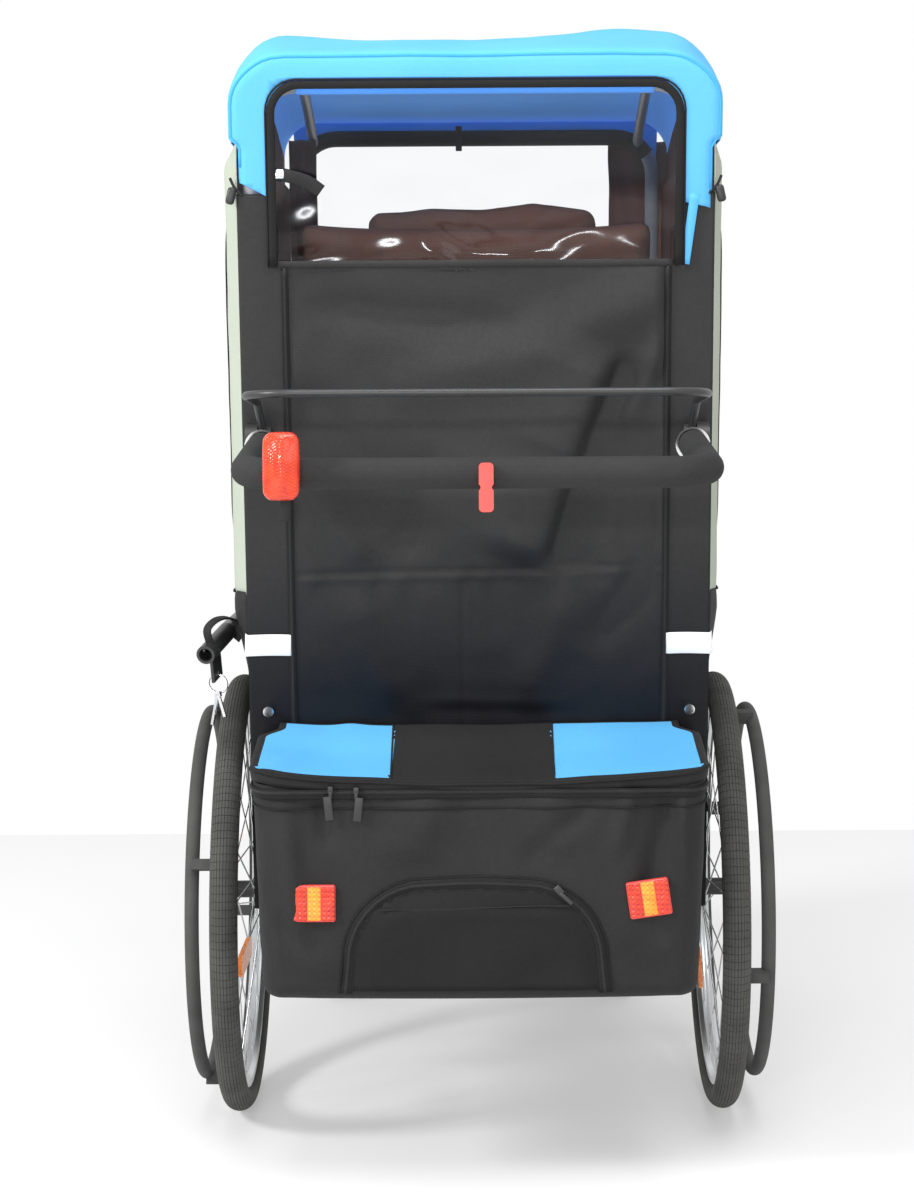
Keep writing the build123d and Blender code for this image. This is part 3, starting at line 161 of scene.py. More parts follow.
class Finish:
    """A material with one main shader, filled in node by node."""

    def __init__(self, name, colour, roughness=0.8, **constants):
        self.material = bpy.data.materials.new(name)
        self.material.use_nodes = True
        self.tree = self.material.node_tree
        self.shader = self.tree.nodes["Principled BSDF"]
        self.set("Base Color", (*colour, 1))
        self.set("Roughness", roughness)
        for key, value in constants.items():
            self.set(key.replace("_", " "), value)

    def set(self, socket, value):
        if isinstance(value, Value):
            self.tree.links.new(value.socket, self.shader.inputs[socket])
        else:
            self.shader.inputs[socket].default_value = value

    def node(self, kind, settings=(), inputs=(), output=0):
        made = self.tree.nodes.new("ShaderNode" + kind)
        for key, value in dict(settings).items():
            if key == "stops":
                ramp = made.color_ramp
                while len(ramp.elements) < len(value):
                    ramp.elements.new(0.5)
                for element, (place, colour) in zip(ramp.elements, value):
                    element.position, element.color = place, (*colour, 1)
            else:
                setattr(made, key, value)
        for key, value in dict(inputs).items():
            if isinstance(value, Value):
                self.tree.links.new(value.socket, made.inputs[key])
            else:
                made.inputs[key].default_value = value
        return Value(self.tree, made.outputs[output])

    def place(self):
        return self.node("TexCoord", output="Object")

    def axes(self):
        return [self.node("SeparateXYZ", inputs={0: self.place()}, output=i) for i in range(3)]

    def noise(self, scale, detail=3.0):
        return self.node("TexNoise", inputs={"Vector": self.place(), "Scale": scale, "Detail": detail})

    def tint(self, mask, low, high):
        """Base colour from low to high by a mask."""
        self.set("Base Color", self.node("ValToRGB", {"stops": ((0, low), (1, high))}, {"Fac": mask}))

    def bump(self, height, strength, depth=0.001):
        self.set("Normal", self.node("Bump", inputs={"Strength": strength, "Distance": depth, "Height": height}))

    def weave(self, pitch):
        """Height of a plain weave of that pitch, on any of the three planes."""
        x, y, z = self.axes()
        k = 2 * math.pi / pitch
        sx, sy, sz = (x * k).sine(), (y * k).sine(), (z * k).sine()
        return (sx * sz + sy * sz + sx * sy) * 0.33 + 0.5


def cloth(name, dark, light, pitch=0.0022, roughness=0.85, strength=0.35):
    finish = Finish(name, dark, roughness, Specular_IOR_Level=0.2)
    cloudy, fine = finish.noise(7.0), finish.noise(160.0, 2.0)
    woven = finish.weave(pitch)
    finish.tint((cloudy * 0.75 + fine * 0.25 + (woven - 0.5) * 0.25).clamp(), dark, light)
    finish.set("Roughness", roughness - 0.12 * fine)
    finish.bump(woven + fine * 0.6, strength, 0.0006)
    return finish


def wall_cloth():
    """Black panel cloth, darker and bluer towards the foot of the wall: painted shade and painted blue bounce light
    from the lid.
    """
    finish = Finish("panel_cloth", (0.02, 0.02, 0.02), 0.55, Specular_IOR_Level=0.22)
    cloudy, fine, woven = finish.noise(5.0), finish.noise(170.0, 2.0), finish.weave(0.0022)
    z = finish.axes()[2]
    shade = (cloudy * 0.7 + fine * 0.3).clamp()
    upper, lower_painted_shade_and_bounce = (
        finish.node("ValToRGB", {"stops": ((0.2, dark), (0.9, light))}, {"Fac": shade})
        for dark, light in (((0.018, 0.018, 0.018), (0.038, 0.037, 0.037)),
                            ((0.003, 0.003, 0.004), (0.008, 0.008, 0.012))))
    # The lower colour holds painted shade and painted blue bounce light from the lid; it gives way to the upper colour
    # going up.
    rise = ((z - 0.62) / 0.22).clamp()
    finish.set("Base Color", finish.node("Mix", {"data_type": "RGBA"}, {0: rise, 6: lower_painted_shade_and_bounce, 7: upper}, output=2))
    finish.set("Roughness", 0.58 - 0.14 * fine)
    finish.bump(woven + fine * 0.5, 0.3, 0.0005)
    return finish


def rubber(name, dark, light):
    finish = Finish(name, dark, 0.75, Specular_IOR_Level=0.35)
    dust, fine = finish.noise(26.0, 5.0), finish.noise(420.0, 2.0)
    finish.tint((dust * 0.8 + fine * 0.2).clamp(), dark, light)
    finish.set("Roughness", 0.86 - 0.2 * dust)
    finish.bump(fine, 0.25, 0.0005)
    return finish


def metal(name, colour, roughness):
    finish = Finish(name, colour, roughness, Metallic=1.0)
    fine, smear = finish.noise(300.0, 2.0), finish.noise(18.0)
    finish.tint(smear, tuple(c * 0.82 for c in colour), colour)
    finish.set("Roughness", roughness * 0.7 + 0.35 * roughness * fine + 0.1 * smear)
    finish.bump(fine, 0.06, 0.0004)
    return finish


def coated(name, dark, light):
    """Powder coat on tube: fine orange-peel and rubbed patches."""
    finish = Finish(name, dark, 0.42, Coat_Weight=0.15, Coat_Roughness=0.3)
    peel, rub = finish.noise(520.0, 1.0), finish.noise(22.0, 4.0)
    finish.tint((rub * 0.8 + peel * 0.2).clamp(), dark, light)
    finish.set("Roughness", 0.42 + 0.18 * rub - 0.08)
    finish.bump(peel, 0.18, 0.0004)
    return finish


def moulded(name, dark, light, roughness, coat=0.0):
    finish = Finish(name, dark, roughness, Coat_Weight=coat, Coat_Roughness=0.1)
    grain, cloud = finish.noise(700.0, 1.0), finish.noise(30.0)
    finish.tint((cloud * 0.7 + grain * 0.3).clamp(), dark, light)
    finish.set("Roughness", roughness + 0.12 * grain - 0.06)
    finish.bump(grain, 0.12, 0.0003)
    return finish


def prism_lens(name, dark, light, pitch=0.005, crisp=0.5):
    """Glossy reflector lens with small pyramids behind its skin."""
    finish = Finish(name, dark, 0.2, Coat_Weight=0.35, Coat_Roughness=0.04)
    x, y, z = finish.axes()
    k = 2 * math.pi / pitch
    cells = ((x * k).sine() * (z * k).sine() + (y * k).sine() * (z * k).sine()) * 0.4 + 0.5
    uneven = finish.noise(75.0, 3.0)
    finish.tint((cells * 0.45 + uneven * 0.9 - 0.2).clamp(), dark, light)
    finish.bump(cells * 0.6 + uneven * 0.8, crisp, 0.0012)
    return finish


def clear_film():
    """Clear window film: see-through, with a mirror gloss that grows at a slant."""
    finish = Finish("clear_film", (0.96, 0.98, 1.0), 0.05, Metallic=1.0)
    haze = finish.noise(9.0, 4.0)
    finish.set("Roughness", 0.07 + 0.10 * haze)
    finish.bump(finish.noise(38.0, 2.0), 0.12, 0.002)
    through = finish.tree.nodes.new("ShaderNodeBsdfTransparent")
    through.inputs[0].default_value = (0.96, 0.97, 0.975, 1)
    mix = finish.tree.nodes.new("ShaderNodeMixShader")
    gloss = finish.node("Fresnel", inputs={"IOR": 1.45})
    finish.tree.links.new((gloss * 0.36).clamp().socket, mix.inputs[0])
    finish.tree.links.new(through.outputs[0], mix.inputs[1])
    finish.tree.links.new(finish.shader.outputs[0], mix.inputs[2])
    finish.tree.links.new(mix.outputs[0], finish.tree.nodes["Material Output"].inputs["Surface"])
    return finish


def smoked_film():
    finish = Finish("smoked_film", (0.06, 0.034, 0.028), 0.10, Alpha=0.78, Specular_IOR_Level=0.5)
    finish.set("Roughness", 0.06 + 0.08 * finish.noise(12.0))
    finish.tint(finish.noise(6.0), (0.042, 0.022, 0.017), (0.085, 0.048, 0.038))
    return finish


def zip_coil():
    finish = Finish("zip_coil", (0.012, 0.012, 0.013), 0.5, Specular_IOR_Level=0.3)
    x, y, z = finish.axes()
    ridges = ((x + z * 0.83 + y * 0.61) * (2 * math.pi / 0.0024)).sine() * 0.5 + 0.5
    finish.tint(ridges, (0.004, 0.004, 0.004), (0.020, 0.020, 0.021))
    finish.bump(ridges, 0.6, 0.0008)
    return finish


def webbing():
    finish = Finish("webbing", (0.012, 0.012, 0.012), 0.7, Specular_IOR_Level=0.3)
    x, y, z = finish.axes()
    ribs = ((x + y + z) * (2 * math.pi / 0.0018)).sine() * 0.5 + 0.5
    finish.tint((ribs * 0.6 + finish.noise(40.0) * 0.4).clamp(), (0.006, 0.006, 0.006), (0.022, 0.022, 0.023))
    finish.bump(ribs, 0.4, 0.0005)
    return finish


PANEL = wall_cloth()
BLACK = cloth("black_cloth", (0.010, 0.010, 0.010), (0.028, 0.028, 0.028), roughness=0.75)
POCKET = cloth("pocket_cloth", (0.004, 0.004, 0.004), (0.013, 0.013, 0.013), roughness=0.7)
BINDING = cloth("binding_cloth", (0.005, 0.005, 0.005), (0.014, 0.014, 0.014), roughness=0.7)
BLUE = cloth("blue_cloth", (0.092, 0.405, 0.770), (0.138, 0.500, 0.890), strength=0.25)
BLUE_LINE = cloth("blue_piping", (0.05, 0.34, 0.72), (0.08, 0.42, 0.82), strength=0.2)
GREY = cloth("grey_cloth", (0.39, 0.43, 0.36), (0.47, 0.51, 0.43))
LINING = cloth("lining_cloth", (0.085, 0.030, 0.022), (0.150, 0.062, 0.048), pitch=0.003)
# The curtains take a brighter copy of the brown lining cloth: painted light that makes up for the shade inside the
# cabin.
PAINTED_LIGHT_CURTAIN = cloth("curtain_cloth_painted_light", (0.150, 0.045, 0.034), (0.250, 0.095, 0.075), pitch=0.003)
# Underside cloth with a painted glow: its emission brightens the inside of the roof and the rear sleeve, though it is
# no lamp.
GLOWING_UNDERSIDE = cloth("blue_underside_painted_glow", (0.030, 0.240, 0.800), (0.070, 0.340, 1.000), strength=0.25)
GLOWING_UNDERSIDE.set("Emission Color", (0.10, 0.27, 0.60, 1))
GLOWING_UNDERSIDE.set("Emission Strength", 0.46)
SEAT = cloth("seat_cloth", (0.072, 0.028, 0.019), (0.125, 0.058, 0.042), pitch=0.003)
FOAM = cloth("grip_foam", (0.022, 0.022, 0.022), (0.043, 0.043, 0.043), pitch=0.0035, roughness=0.95, strength=0.15)
TYRE = rubber("tyre_rubber", (0.028, 0.028, 0.026), (0.098, 0.097, 0.089))
CASTER_RUBBER = rubber("caster_rubber", (0.020, 0.020, 0.020), (0.05, 0.05, 0.05))
RIM_RUBBER = rubber("hand_rim_rubber", (0.034, 0.034, 0.034), (0.088, 0.088, 0.086))
ALLOY = metal("alloy", (0.78, 0.79, 0.80), 0.30)
STEEL = metal("spoke_steel", (0.62, 0.63, 0.64), 0.22)
CHROME = metal("chrome", (0.88, 0.88, 0.90), 0.08)
FRAME = coated("frame_grey", (0.30, 0.30, 0.31), (0.40, 0.40, 0.41))
BLACK_METAL = coated("black_metal", (0.010, 0.010, 0.010), (0.030, 0.030, 0.030))
KNUCKLE = moulded("knuckle_plastic", (0.010, 0.010, 0.010), (0.026, 0.026, 0.026), 0.45)
CASTER_CORE = moulded("caster_plastic", (0.014, 0.014, 0.014), (0.030, 0.030, 0.030), 0.5)
RED = moulded("red_plastic", (0.72, 0.050, 0.042), (0.84, 0.090, 0.075), 0.34, 0.3)
LAMP = prism_lens("lamp_lens", (0.48, 0.006, 0.002), (0.90, 0.080, 0.012), 0.004, 0.3)
RED_LENS = prism_lens("red_lens", (0.36, 0.006, 0.003), (0.92, 0.055, 0.010), 0.006, 0.8)
AMBER = prism_lens("amber_lens", (0.75, 0.15, 0.008), (1.00, 0.30, 0.025), 0.006)
YELLOW_LENS = prism_lens("yellow_lens", (0.80, 0.12, 0.004), (1.00, 0.50, 0.030), 0.006, 0.8)
# Light reflective tape painted near white: part of that whiteness is a painted flash reflection.
BAND = cloth("reflective_band", (0.86, 0.87, 0.89), (0.97, 0.97, 0.98), pitch=0.0016, roughness=0.35, strength=0.12)
CLEAR = clear_film()
SMOKED = smoked_film()
ZIP = zip_coil()
STRAP = webbing()


# Building
TO_FRAME = Matrix.Translation((0, SHIFT_Y / 1000, 0)) @ Matrix.Scale(0.001, 4)


def piece(bm, name, finish, slot="black_fabric", replaces=(), extra=(), thick=0.0, lined=False, body="chassis",
          crease=0):
    """Finishes a bmesh in millimetres as a piece in the frame, riding on a body."""
    bmesh.ops.transform(bm, matrix=TO_FRAME, verts=bm.verts)
    for face in bm.faces:
        face.smooth = True
    mesh = bpy.data.meshes.new(name)
    bm.to_mesh(mesh)
    bm.free()
    for each in (finish, *extra):
        mesh.materials.append(each.material)
    made = bpy.data.objects.new(name, mesh)
    bpy.context.scene.collection.objects.link(made)
    if thick:
        wall = made.modifiers.new("wall", "SOLIDIFY")
        wall.thickness, wall.offset = thick / 1000, -1.0
        wall.material_offset = 1 if lined else 0
    if crease:
        mesh.set_sharp_from_angle(angle=math.radians(crease))
    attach(made, body)
    if replaces:
        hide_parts(*replaces)
    return made


def grid(columns, rows, place):
    """A grid whose points go where place(u, v) puts them, u and v from 0 to 1."""
    bm = bmesh.new()
    bmesh.ops.create_grid(bm, x_segments=columns, y_segments=rows, size=0.5)
    for vert in bm.verts:
        vert.co = place(vert.co.x + 0.5, vert.co.y + 0.5)
    return bm


def turn_towards(bm, direction):
    """Turns a whole open sheet over if it faces away from a direction."""
    bm.normal_update()
    if sum(f.normal.dot(direction) * f.calc_area() for f in bm.faces) < 0:
        bmesh.ops.reverse_faces(bm, faces=bm.faces)


def cut(bm, at, normal, **options):
    """Cuts a whole mesh by a plane."""
    bmesh.ops.bisect_plane(bm, geom=bm.verts[:] + bm.edges[:] + bm.faces[:], plane_co=at, plane_no=normal, **options)


def remove_faces(bm, faces):
    bmesh.ops.delete(bm, geom=faces, context="FACES")


def round_edges(bm, edges, offset, segments):
    bmesh.ops.bevel(bm, geom=edges, offset=offset, segments=segments, affect="EDGES", profile=0.5, material=-1)


def flat_area(bm):
    return sum(f.calc_area() for f in bm.faces) / 1e6


def sheet(bm, name, finish, flat, held, rests_on, **options):
    """A piece of cloth or film; the area of its mesh is worked out but not used."""
    area = flat_area(bm)
    made = piece(bm, name, finish, **options)


def frames_along(points, out, closed=False):
    """Frames on a path: x across the strip, y out of it, z along it."""
    made, count = [], len(points)
    for i, point in enumerate(points):
        before = points[i - 1] if i or closed else points[0]
        after = points[(i + 1) % count] if i + 1 < count or closed else points[-1]
        along = (after - before).normalized()
        normal = out(point) if callable(out) else out
        across = along.cross(normal).normalized()
        normal = across.cross(along)
        made.append(Matrix(((across.x, normal.x, along.x, point.x), (across.y, normal.y, along.y, point.y),
                            (across.z, normal.z, along.z, point.z), (0, 0, 0, 1))))
    return made


def swept(frames, section, closed=False):
    """Extrudes a closed section along frames."""
    bm = bmesh.new()
    ring = [bm.verts.new(frames[0] @ Vector((a, b, 0))) for a, b in section]
    first = [bm.edges.new((ring[i], ring[(i + 1) % len(ring)])) for i in range(len(ring))]
    if not closed:
        bmesh.ops.edgeloop_fill(bm, edges=first)
    edges = first
    for here, there in zip(frames, frames[1:]):
        made = bmesh.ops.extrude_edge_only(bm, edges=edges)["geom"]
        verts = [g for g in made if isinstance(g, bmesh.types.BMVert)]
        bmesh.ops.transform(bm, matrix=there @ here.inverted(), verts=verts)
        fresh = set(verts)
        edges = [g for g in made if isinstance(g, bmesh.types.BMEdge) and set(g.verts) <= fresh]
    if closed:
        bmesh.ops.bridge_loops(bm, edges=first + edges)
    else:
        bmesh.ops.edgeloop_fill(bm, edges=edges)
    bmesh.ops.recalc_face_normals(bm, faces=bm.faces)
    return bm


def strip_section(width, thick):
    """Flat strap section with rounded edges, its back at the path."""
    w, r = width / 2, thick * 0.3
    return [(-w, 0), (w, 0), (w, thick - r), (w - r, thick), (-w + r, thick), (-w, thick - r)]


def round_section(radius):
    turns = [2 * math.pi * i / 10 for i in range(10)]
    return [(radius * math.cos(a), radius * math.sin(a)) for a in turns]


def strip(points, width, thick, out, closed=False):
    return swept(frames_along(points, out, closed), strip_section(width, thick), closed)


def cordlike(points, radius, out=Vector((0, -1, 0.01))):
    return swept(frames_along(points, out), round_section(radius))


def smooth_path(points, steps=8):
    """Points on a smooth curve through the given ones."""
    made, last = [], len(points) - 1
    for i in range(last):
        p0, p1, p2, p3 = points[max(i - 1, 0)], points[i], points[i + 1], points[min(i + 2, last)]
        for k in range(steps):
            t = k / steps
            made.append(0.5 * ((2 * p1) + (p2 - p0) * t + (2 * p0 - 5 * p1 + 4 * p2 - p3) * t * t
                               + (3 * p1 - p0 - 3 * p2 + p3) * t * t * t))
    made.append(points[-1].copy())
    return made


def block(size, centre, edge, turn=None, segments=3):
    """Rounded block about a centre."""
    bm = bmesh.new()
    add_block(bm, size, centre, edge, turn, segments)
    return bm


def add_block(bm, size, centre, edge, turn=None, segments=3):
    place = Matrix.Translation(centre) @ (turn or Matrix.Identity(4)) @ Matrix.Diagonal((*size, 1))
    made = bmesh.ops.create_cube(bm, size=1.0, matrix=place)["verts"]
    if edge:
        edges = list({e for v in made for e in v.link_edges})
        round_edges(bm, edges, edge, segments)


def add_rod(bm, radius, depth, place, segments, tip=None):
    bmesh.ops.create_cone(bm, cap_ends=True, segments=segments, radius1=radius, radius2=tip or radius, depth=depth,
                          matrix=place)


def slice_grid(bm, axis, low, high, step):
    """Cuts a mesh by parallel planes so that it can bend."""
    normal = Vector((0, 0, 0))
    normal[axis] = 1
    place = low
    while place < high:
        at = Vector((0, 0, 0))
        at[axis] = place
        cut(bm, at, normal, dist=0.05)
        place += step


# Rear wall
WALL_FOLDS = (  # x, z at both ends, width, height
    (193, 1050, 140, 925, 15, -13), (140, 925, 98, 785, 17, -14), (162, 1060, 108, 915, 25, 18),
    (108, 915, 72, 795, 25, 16), (60, 1080, 10, 800, 75, 6), (-110, 1010, 290, 1150, 38, 8),
    (-230, 1010, -120, 860, 30, -8), (238, 960, 205, 800, 26, -9), (240, 790, 150, 680, 24, -8),
    (-70, 604, 120, 601, 8, 1.5), (-60, 590, 120, 587, 8, -1.0), (262, 1110, 180, 960, 18, 8),
    (-225, 905, -150, 790, 20, 7), (-200, 1120, 60, 1090, 24, -6), (120, 740, 60, 600, 26, 6),
    (-160, 740, -120, 600, 30, 6), (-60, 930, -90, 800, 26, -6), (20, 900, 60, 790, 20, 5),
)


def wall_relief(x, z):
    """How far the slack rear wall stands out, with its sewn seams."""
    held = ease(0, 16, SEAM_X - abs(x))
    slack = folds(WALL_FOLDS, x, z, -0.15, 0.2) * (0.8 + 0.5 * ease(660, 760, z))
    slack += 2.2 * ripple((x, z, 0), 110, 1.7) + 0.8 * ripple((x, z, 0), 34, 4.1)
    above = z - SEAM_Z - 0.02 * x
    seam = 1.6 * bell(above, 5) - 2.0 * bell(above - 7, 3.5)
    pucker = 1.3 * math.sin(x / 9.0 + 3 * ripple((x, 0, 0), 60)) * bell(above + 3, 16)
    middle = -1.6 * bell(x + 20, 2.6) * ease(0, 20, SEAM_Z + 5 - z)
    ends = ease(0, 14, WINDOW_LOW - z) * ease(0, 10, z - FLOOR_Z)
    strips = (1 - held) * ripple((x, z, 0), 90, 7.7)
    return 1.0 + max(-6.0, (slack + seam + pucker + middle) * held * ends + strips)


def make_rear_wall():
    bm = grid(150, 220, lambda u, v: Vector((2 * WALL_HALF * (u - 0.5), 0, FLOOR_Z + v * (WALL_TOP - FLOOR_Z))))
    for edge_x in (-WINDOW_HALF, WINDOW_HALF):
        cut(bm, (edge_x, 0, 0), (1, 0, 0))
    cut(bm, (0, 0, WINDOW_LOW), (0, 0, 1))
    middles = {f: f.calc_center_median() for f in bm.faces}
    remove_faces(bm, [f for f, c in middles.items() if abs(c.x) < WINDOW_HALF and c.z > WINDOW_LOW])
    for vert in bm.verts:
        x, z = vert.co.x, vert.co.z
        vert.co = on_wall(x, z, wall_relief(x, z))
    turn_towards(bm, WALL_OUT)
    sheet(bm, "rear_panel", PANEL, (0.615, 0.985), "stretched", ["rear_hoop"], replaces=("rear_wall",), thick=2.0)
    for name, side in SIDES.items():
        for kind, out, span, wide, thick, finish in (("seam", 2.0, (330, 1180), 9.0, 1.6, BINDING),
                                                     ("zip", 3.4, (332, 1178), 3.6, 1.3, ZIP)):
            path = [on_wall(side * SEAM_X, z, out) for z in range(*span, 12)]
            piece(strip(path, wide, thick, WALL_OUT), f"wall_{kind}_{name}", finish)
    hem = [on_wall(x, WINDOW_LOW - 1, 1.6) for x in range(-262, 263, 12)]
    piece(strip(hem, 9.0, 1.6, WALL_OUT), "wall_top_hem", PANEL)


# Canopy
def roof_arc():
    """Centre and radius of the roof's arc."""
    (ay, az), (by, bz), (cy, cz) = (wall_y(ROOF_REAR_Z), ROOF_REAR_Z), ROOF_CROWN, ROOF_FRONT
    d = 2 * (ay * (bz - cz) + by * (cz - az) + cy * (az - bz))
    a2, b2, c2 = ay * ay + az * az, by * by + bz * bz, cy * cy + cz * cz
    uy = (a2 * (bz - cz) + b2 * (cz - az) + c2 * (az - bz)) / d
    uz = (a2 * (cy - by) + b2 * (ay - cy) + c2 * (by - ay)) / d
    return uy, uz, math.hypot(ay - uy, az - uz)


ARC_Y, ARC_Z, ARC_R = roof_arc()


def roof_z(y):
    return ARC_Z + math.sqrt(max(0.0, ARC_R ** 2 - (y - ARC_Y) ** 2))


def front_y(z):
    return ROOF_FRONT[0] + (ROOF_FRONT[1] - z) * math.tan(POST_LEAN)


def roof_place(co):
    """From the canopy's straight block to its arched, leaning, slack shape."""
    x, along, rise = co
    share = along / ROOF_LENGTH
    if along < 40 and abs(x) > 250:
        drawn = ease(SKIRT_RISE + 4, SKIRT_RISE - 8, rise)
        x -= math.copysign((abs(x) - 250) * 0.19 * drawn, x)
    y_top = wall_y(ROOF_REAR_Z) * (1 - share) + ROOF_FRONT[0] * share
    lift = roof_z(y_top) - ROOF_REAR_Z
    z = ROOF_LOW_Z + rise + lift * ease(SKIRT_RISE, ROOF_RISE - 45, rise)
    y = (wall_y(z) - CANOPY_OUT) * (1 - share) + front_y(z) * share
    top = ease(ROOF_RISE - 40, ROOF_RISE - 4, rise)
    hump = 17 * bell(x - 195, 72) * bell(y - 60, 190)
    hollow = -15 * math.exp(-((x + 70) / 175) ** 4) * bell(y - 60, 260)
    left = 5 * bell(x + 235, 60) * bell(y - 20, 200)
    rear_edge = 9 * bell(y - wall_y(z), 80) * ease(0, 60, 300 - abs(x))
    z += top * (hump + hollow + left + rear_edge)
    loose = 1.8 * ripple((x, y, z), 120, 2.2) + 0.7 * ripple((x, y, z), 45, 5.5)
    off = loose * 0.6 * (1 - top)
    return Vector((x + math.copysign(off, x), y - off * (1 - share), z + top * loose))


def rounded_inside(x, t, half, low, high, radius):
    """How deep a point lies inside a rectangle with rounded corners, negative outside."""
    dx, dt = abs(x) - (half - radius), abs(t - (low + high) / 2) - ((high - low) / 2 - radius)
    if dx > 0 and dt > 0:
        return radius - math.hypot(dx, dt)
    return radius - max(dx, dt)


def make_canopy():
    bm = block((2 * ROOF_HALF, ROOF_LENGTH, ROOF_RISE), (0, ROOF_LENGTH / 2, ROOF_RISE / 2), 0)
    shoulders = [e for e in bm.edges if all(v.co.z > ROOF_RISE - 1 and abs(v.co.x) > ROOF_HALF - 1 for v in e.verts)
                 and abs(e.verts[0].co.y - e.verts[1].co.y) > 1]
    round_edges(bm, shoulders, ROOF_CORNER, 9)
    rear_edges = [e for e in bm.edges if all(v.co.y < 0.5 for v in e.verts) and not all(v.co.z < 0.5 for v in e.verts)]
    round_edges(bm, rear_edges, ROOF_EDGE, 4)
    remove_faces(bm, [f for f in bm.faces if abs(f.normal.z + 1) < 0.01 or abs(f.normal.y - 1) < 0.01])
    slice_grid(bm, 0, -300, 301, 12)
    slice_grid(bm, 1, 14, ROOF_LENGTH, 14)
    slice_grid(bm, 2, 7, ROOF_RISE, 7)
    window_top = WINDOW_TOP - ROOF_LOW_Z
    for at, normal in (((WINDOW_HALF, 0, 0), (1, 0, 0)), ((-WINDOW_HALF, 0, 0), (1, 0, 0)),
                       ((0, 0, window_top), (0, 0, 1)), ((0, 0, SKIRT_RISE), (0, 0, 1)),
                       ((0, DROP_DEEP, 0), (0, 1, 0))):
        cut(bm, at, normal)
    for side, outer, inner in ((-1, 1279, 1258), (1, 1243, 1252)):
        middles = {f: f.calc_center_median() for f in bm.faces}
        legs = [f for f, c in middles.items() if c.y < DROP_DEEP and c.x * side > WINDOW_HALF and c.z < SKIRT_RISE]
        near = list({g for f in legs for g in (*f.verts, *f.edges, f)})
        slope = Vector((side * (inner - outer) / (ROOF_HALF - WINDOW_HALF), 0, 1)).normalized()
        bmesh.ops.bisect_plane(bm, geom=near, plane_co=(side * WINDOW_HALF, 0, inner - ROOF_LOW_Z), plane_no=slope,
                               clear_inner=True)
    gone = []
    for face in bm.faces:
        c = face.calc_center_median()
        if c.y < DROP_DEEP and rounded_inside(c.x, c.z, WINDOW_HALF, -400, window_top, WINDOW_R) > 0:
            gone.append(face)
        elif c.z < SKIRT_RISE and c.y > DROP_DEEP:
            gone.append(face)
    remove_faces(bm, gone)
    for vert in bm.verts:
        dx, dz = abs(vert.co.x) - (WINDOW_HALF - WINDOW_R), vert.co.z - (window_top - WINDOW_R)
        if vert.is_boundary and vert.co.y < 2 and dx > 0 and dz > 0 and abs(vert.co.x) < WINDOW_HALF + 1:
            scale = WINDOW_R / math.hypot(dx, dz)
            vert.co.x = math.copysign(WINDOW_HALF - WINDOW_R + dx * scale, vert.co.x)
            vert.co.z = window_top - WINDOW_R + dz * scale
    for face in bm.faces:
        c = face.calc_center_median()
        if abs(c.x) > ROOF_HALF - 3 and c.y > DROP_DEEP and c.z < ROOF_RISE - ROOF_CORNER:
            face.material_index = 2
    for vert in bm.verts:
        vert.co = roof_place(vert.co)
    bm.normal_update()
    # The canopy's inner side takes the underside cloth, whose emission is a painted glow.
    sheet(bm, "canopy", BLUE, (1.0, 1.2), "stretched", ["rear_hoop", "front_hoop", "roof_rails"], slot="blue_fabric",
          replaces=("roof", "canopy_back"), extra=(GLOWING_UNDERSIDE, BLUE, LINING), thick=1.8, lined=True)
    inner = 0.29 * ROOF_EDGE
    half, r, shoulder = ROOF_HALF - inner, ROOF_CORNER - inner, ROOF_RISE - ROOF_CORNER
    line = [(-half, 62 + (shoulder - 62) * k / 6) for k in range(7)]
    line += [(-half + r - r * math.cos(a), shoulder + r * math.sin(a)) for a in quarter(8, 1)]
    line += [(-half + r + (2 * half - 2 * r) * k / 30, ROOF_RISE - inner) for k in range(1, 31)]
    line += [(half - r + r * math.sin(a), shoulder + r * math.cos(a)) for a in quarter(8, 1)]
    line += [(half, shoulder - (shoulder - 30) * k / 6) for k in range(1, 7)]
    path = [roof_place((x, inner, rise)) for x, rise in line]
    piece(cordlike(path, 2.0), "canopy_piping", BLUE_LINE, "blue_fabric")
    crest = roof_place((-27, 0.5 * ROOF_LENGTH, ROOF_RISE))
    piece(block((13, 16, 6), crest + Vector((0, 0, 1.5)), 1.5), "roof_tag", STRAP)


def window_ring(out, grow):
    """Path points on the wall round the window."""
    half, low, high, r = WINDOW_HALF - grow, WINDOW_LOW - 4, WINDOW_TOP - grow, WINDOW_R - grow / 2
    points = [(-half, low + (high - r - low) * k / 12) for k in range(13)]
    points += [(-half + r - r * math.cos(a), high - r + r * math.sin(a)) for a in quarter(7, 1)]
    points += [(-half + r + (2 * half - 2 * r) * k / 24, high) for k in range(1, 25)]
    points += [(half - r + r * math.sin(a), high - r + r * math.cos(a)) for a in quarter(7, 1)]
    points += [(half, high - r - (high - r - low) * k / 12) for k in range(1, 13)]
    return [on_wall(x, z, out) for x, z in points]


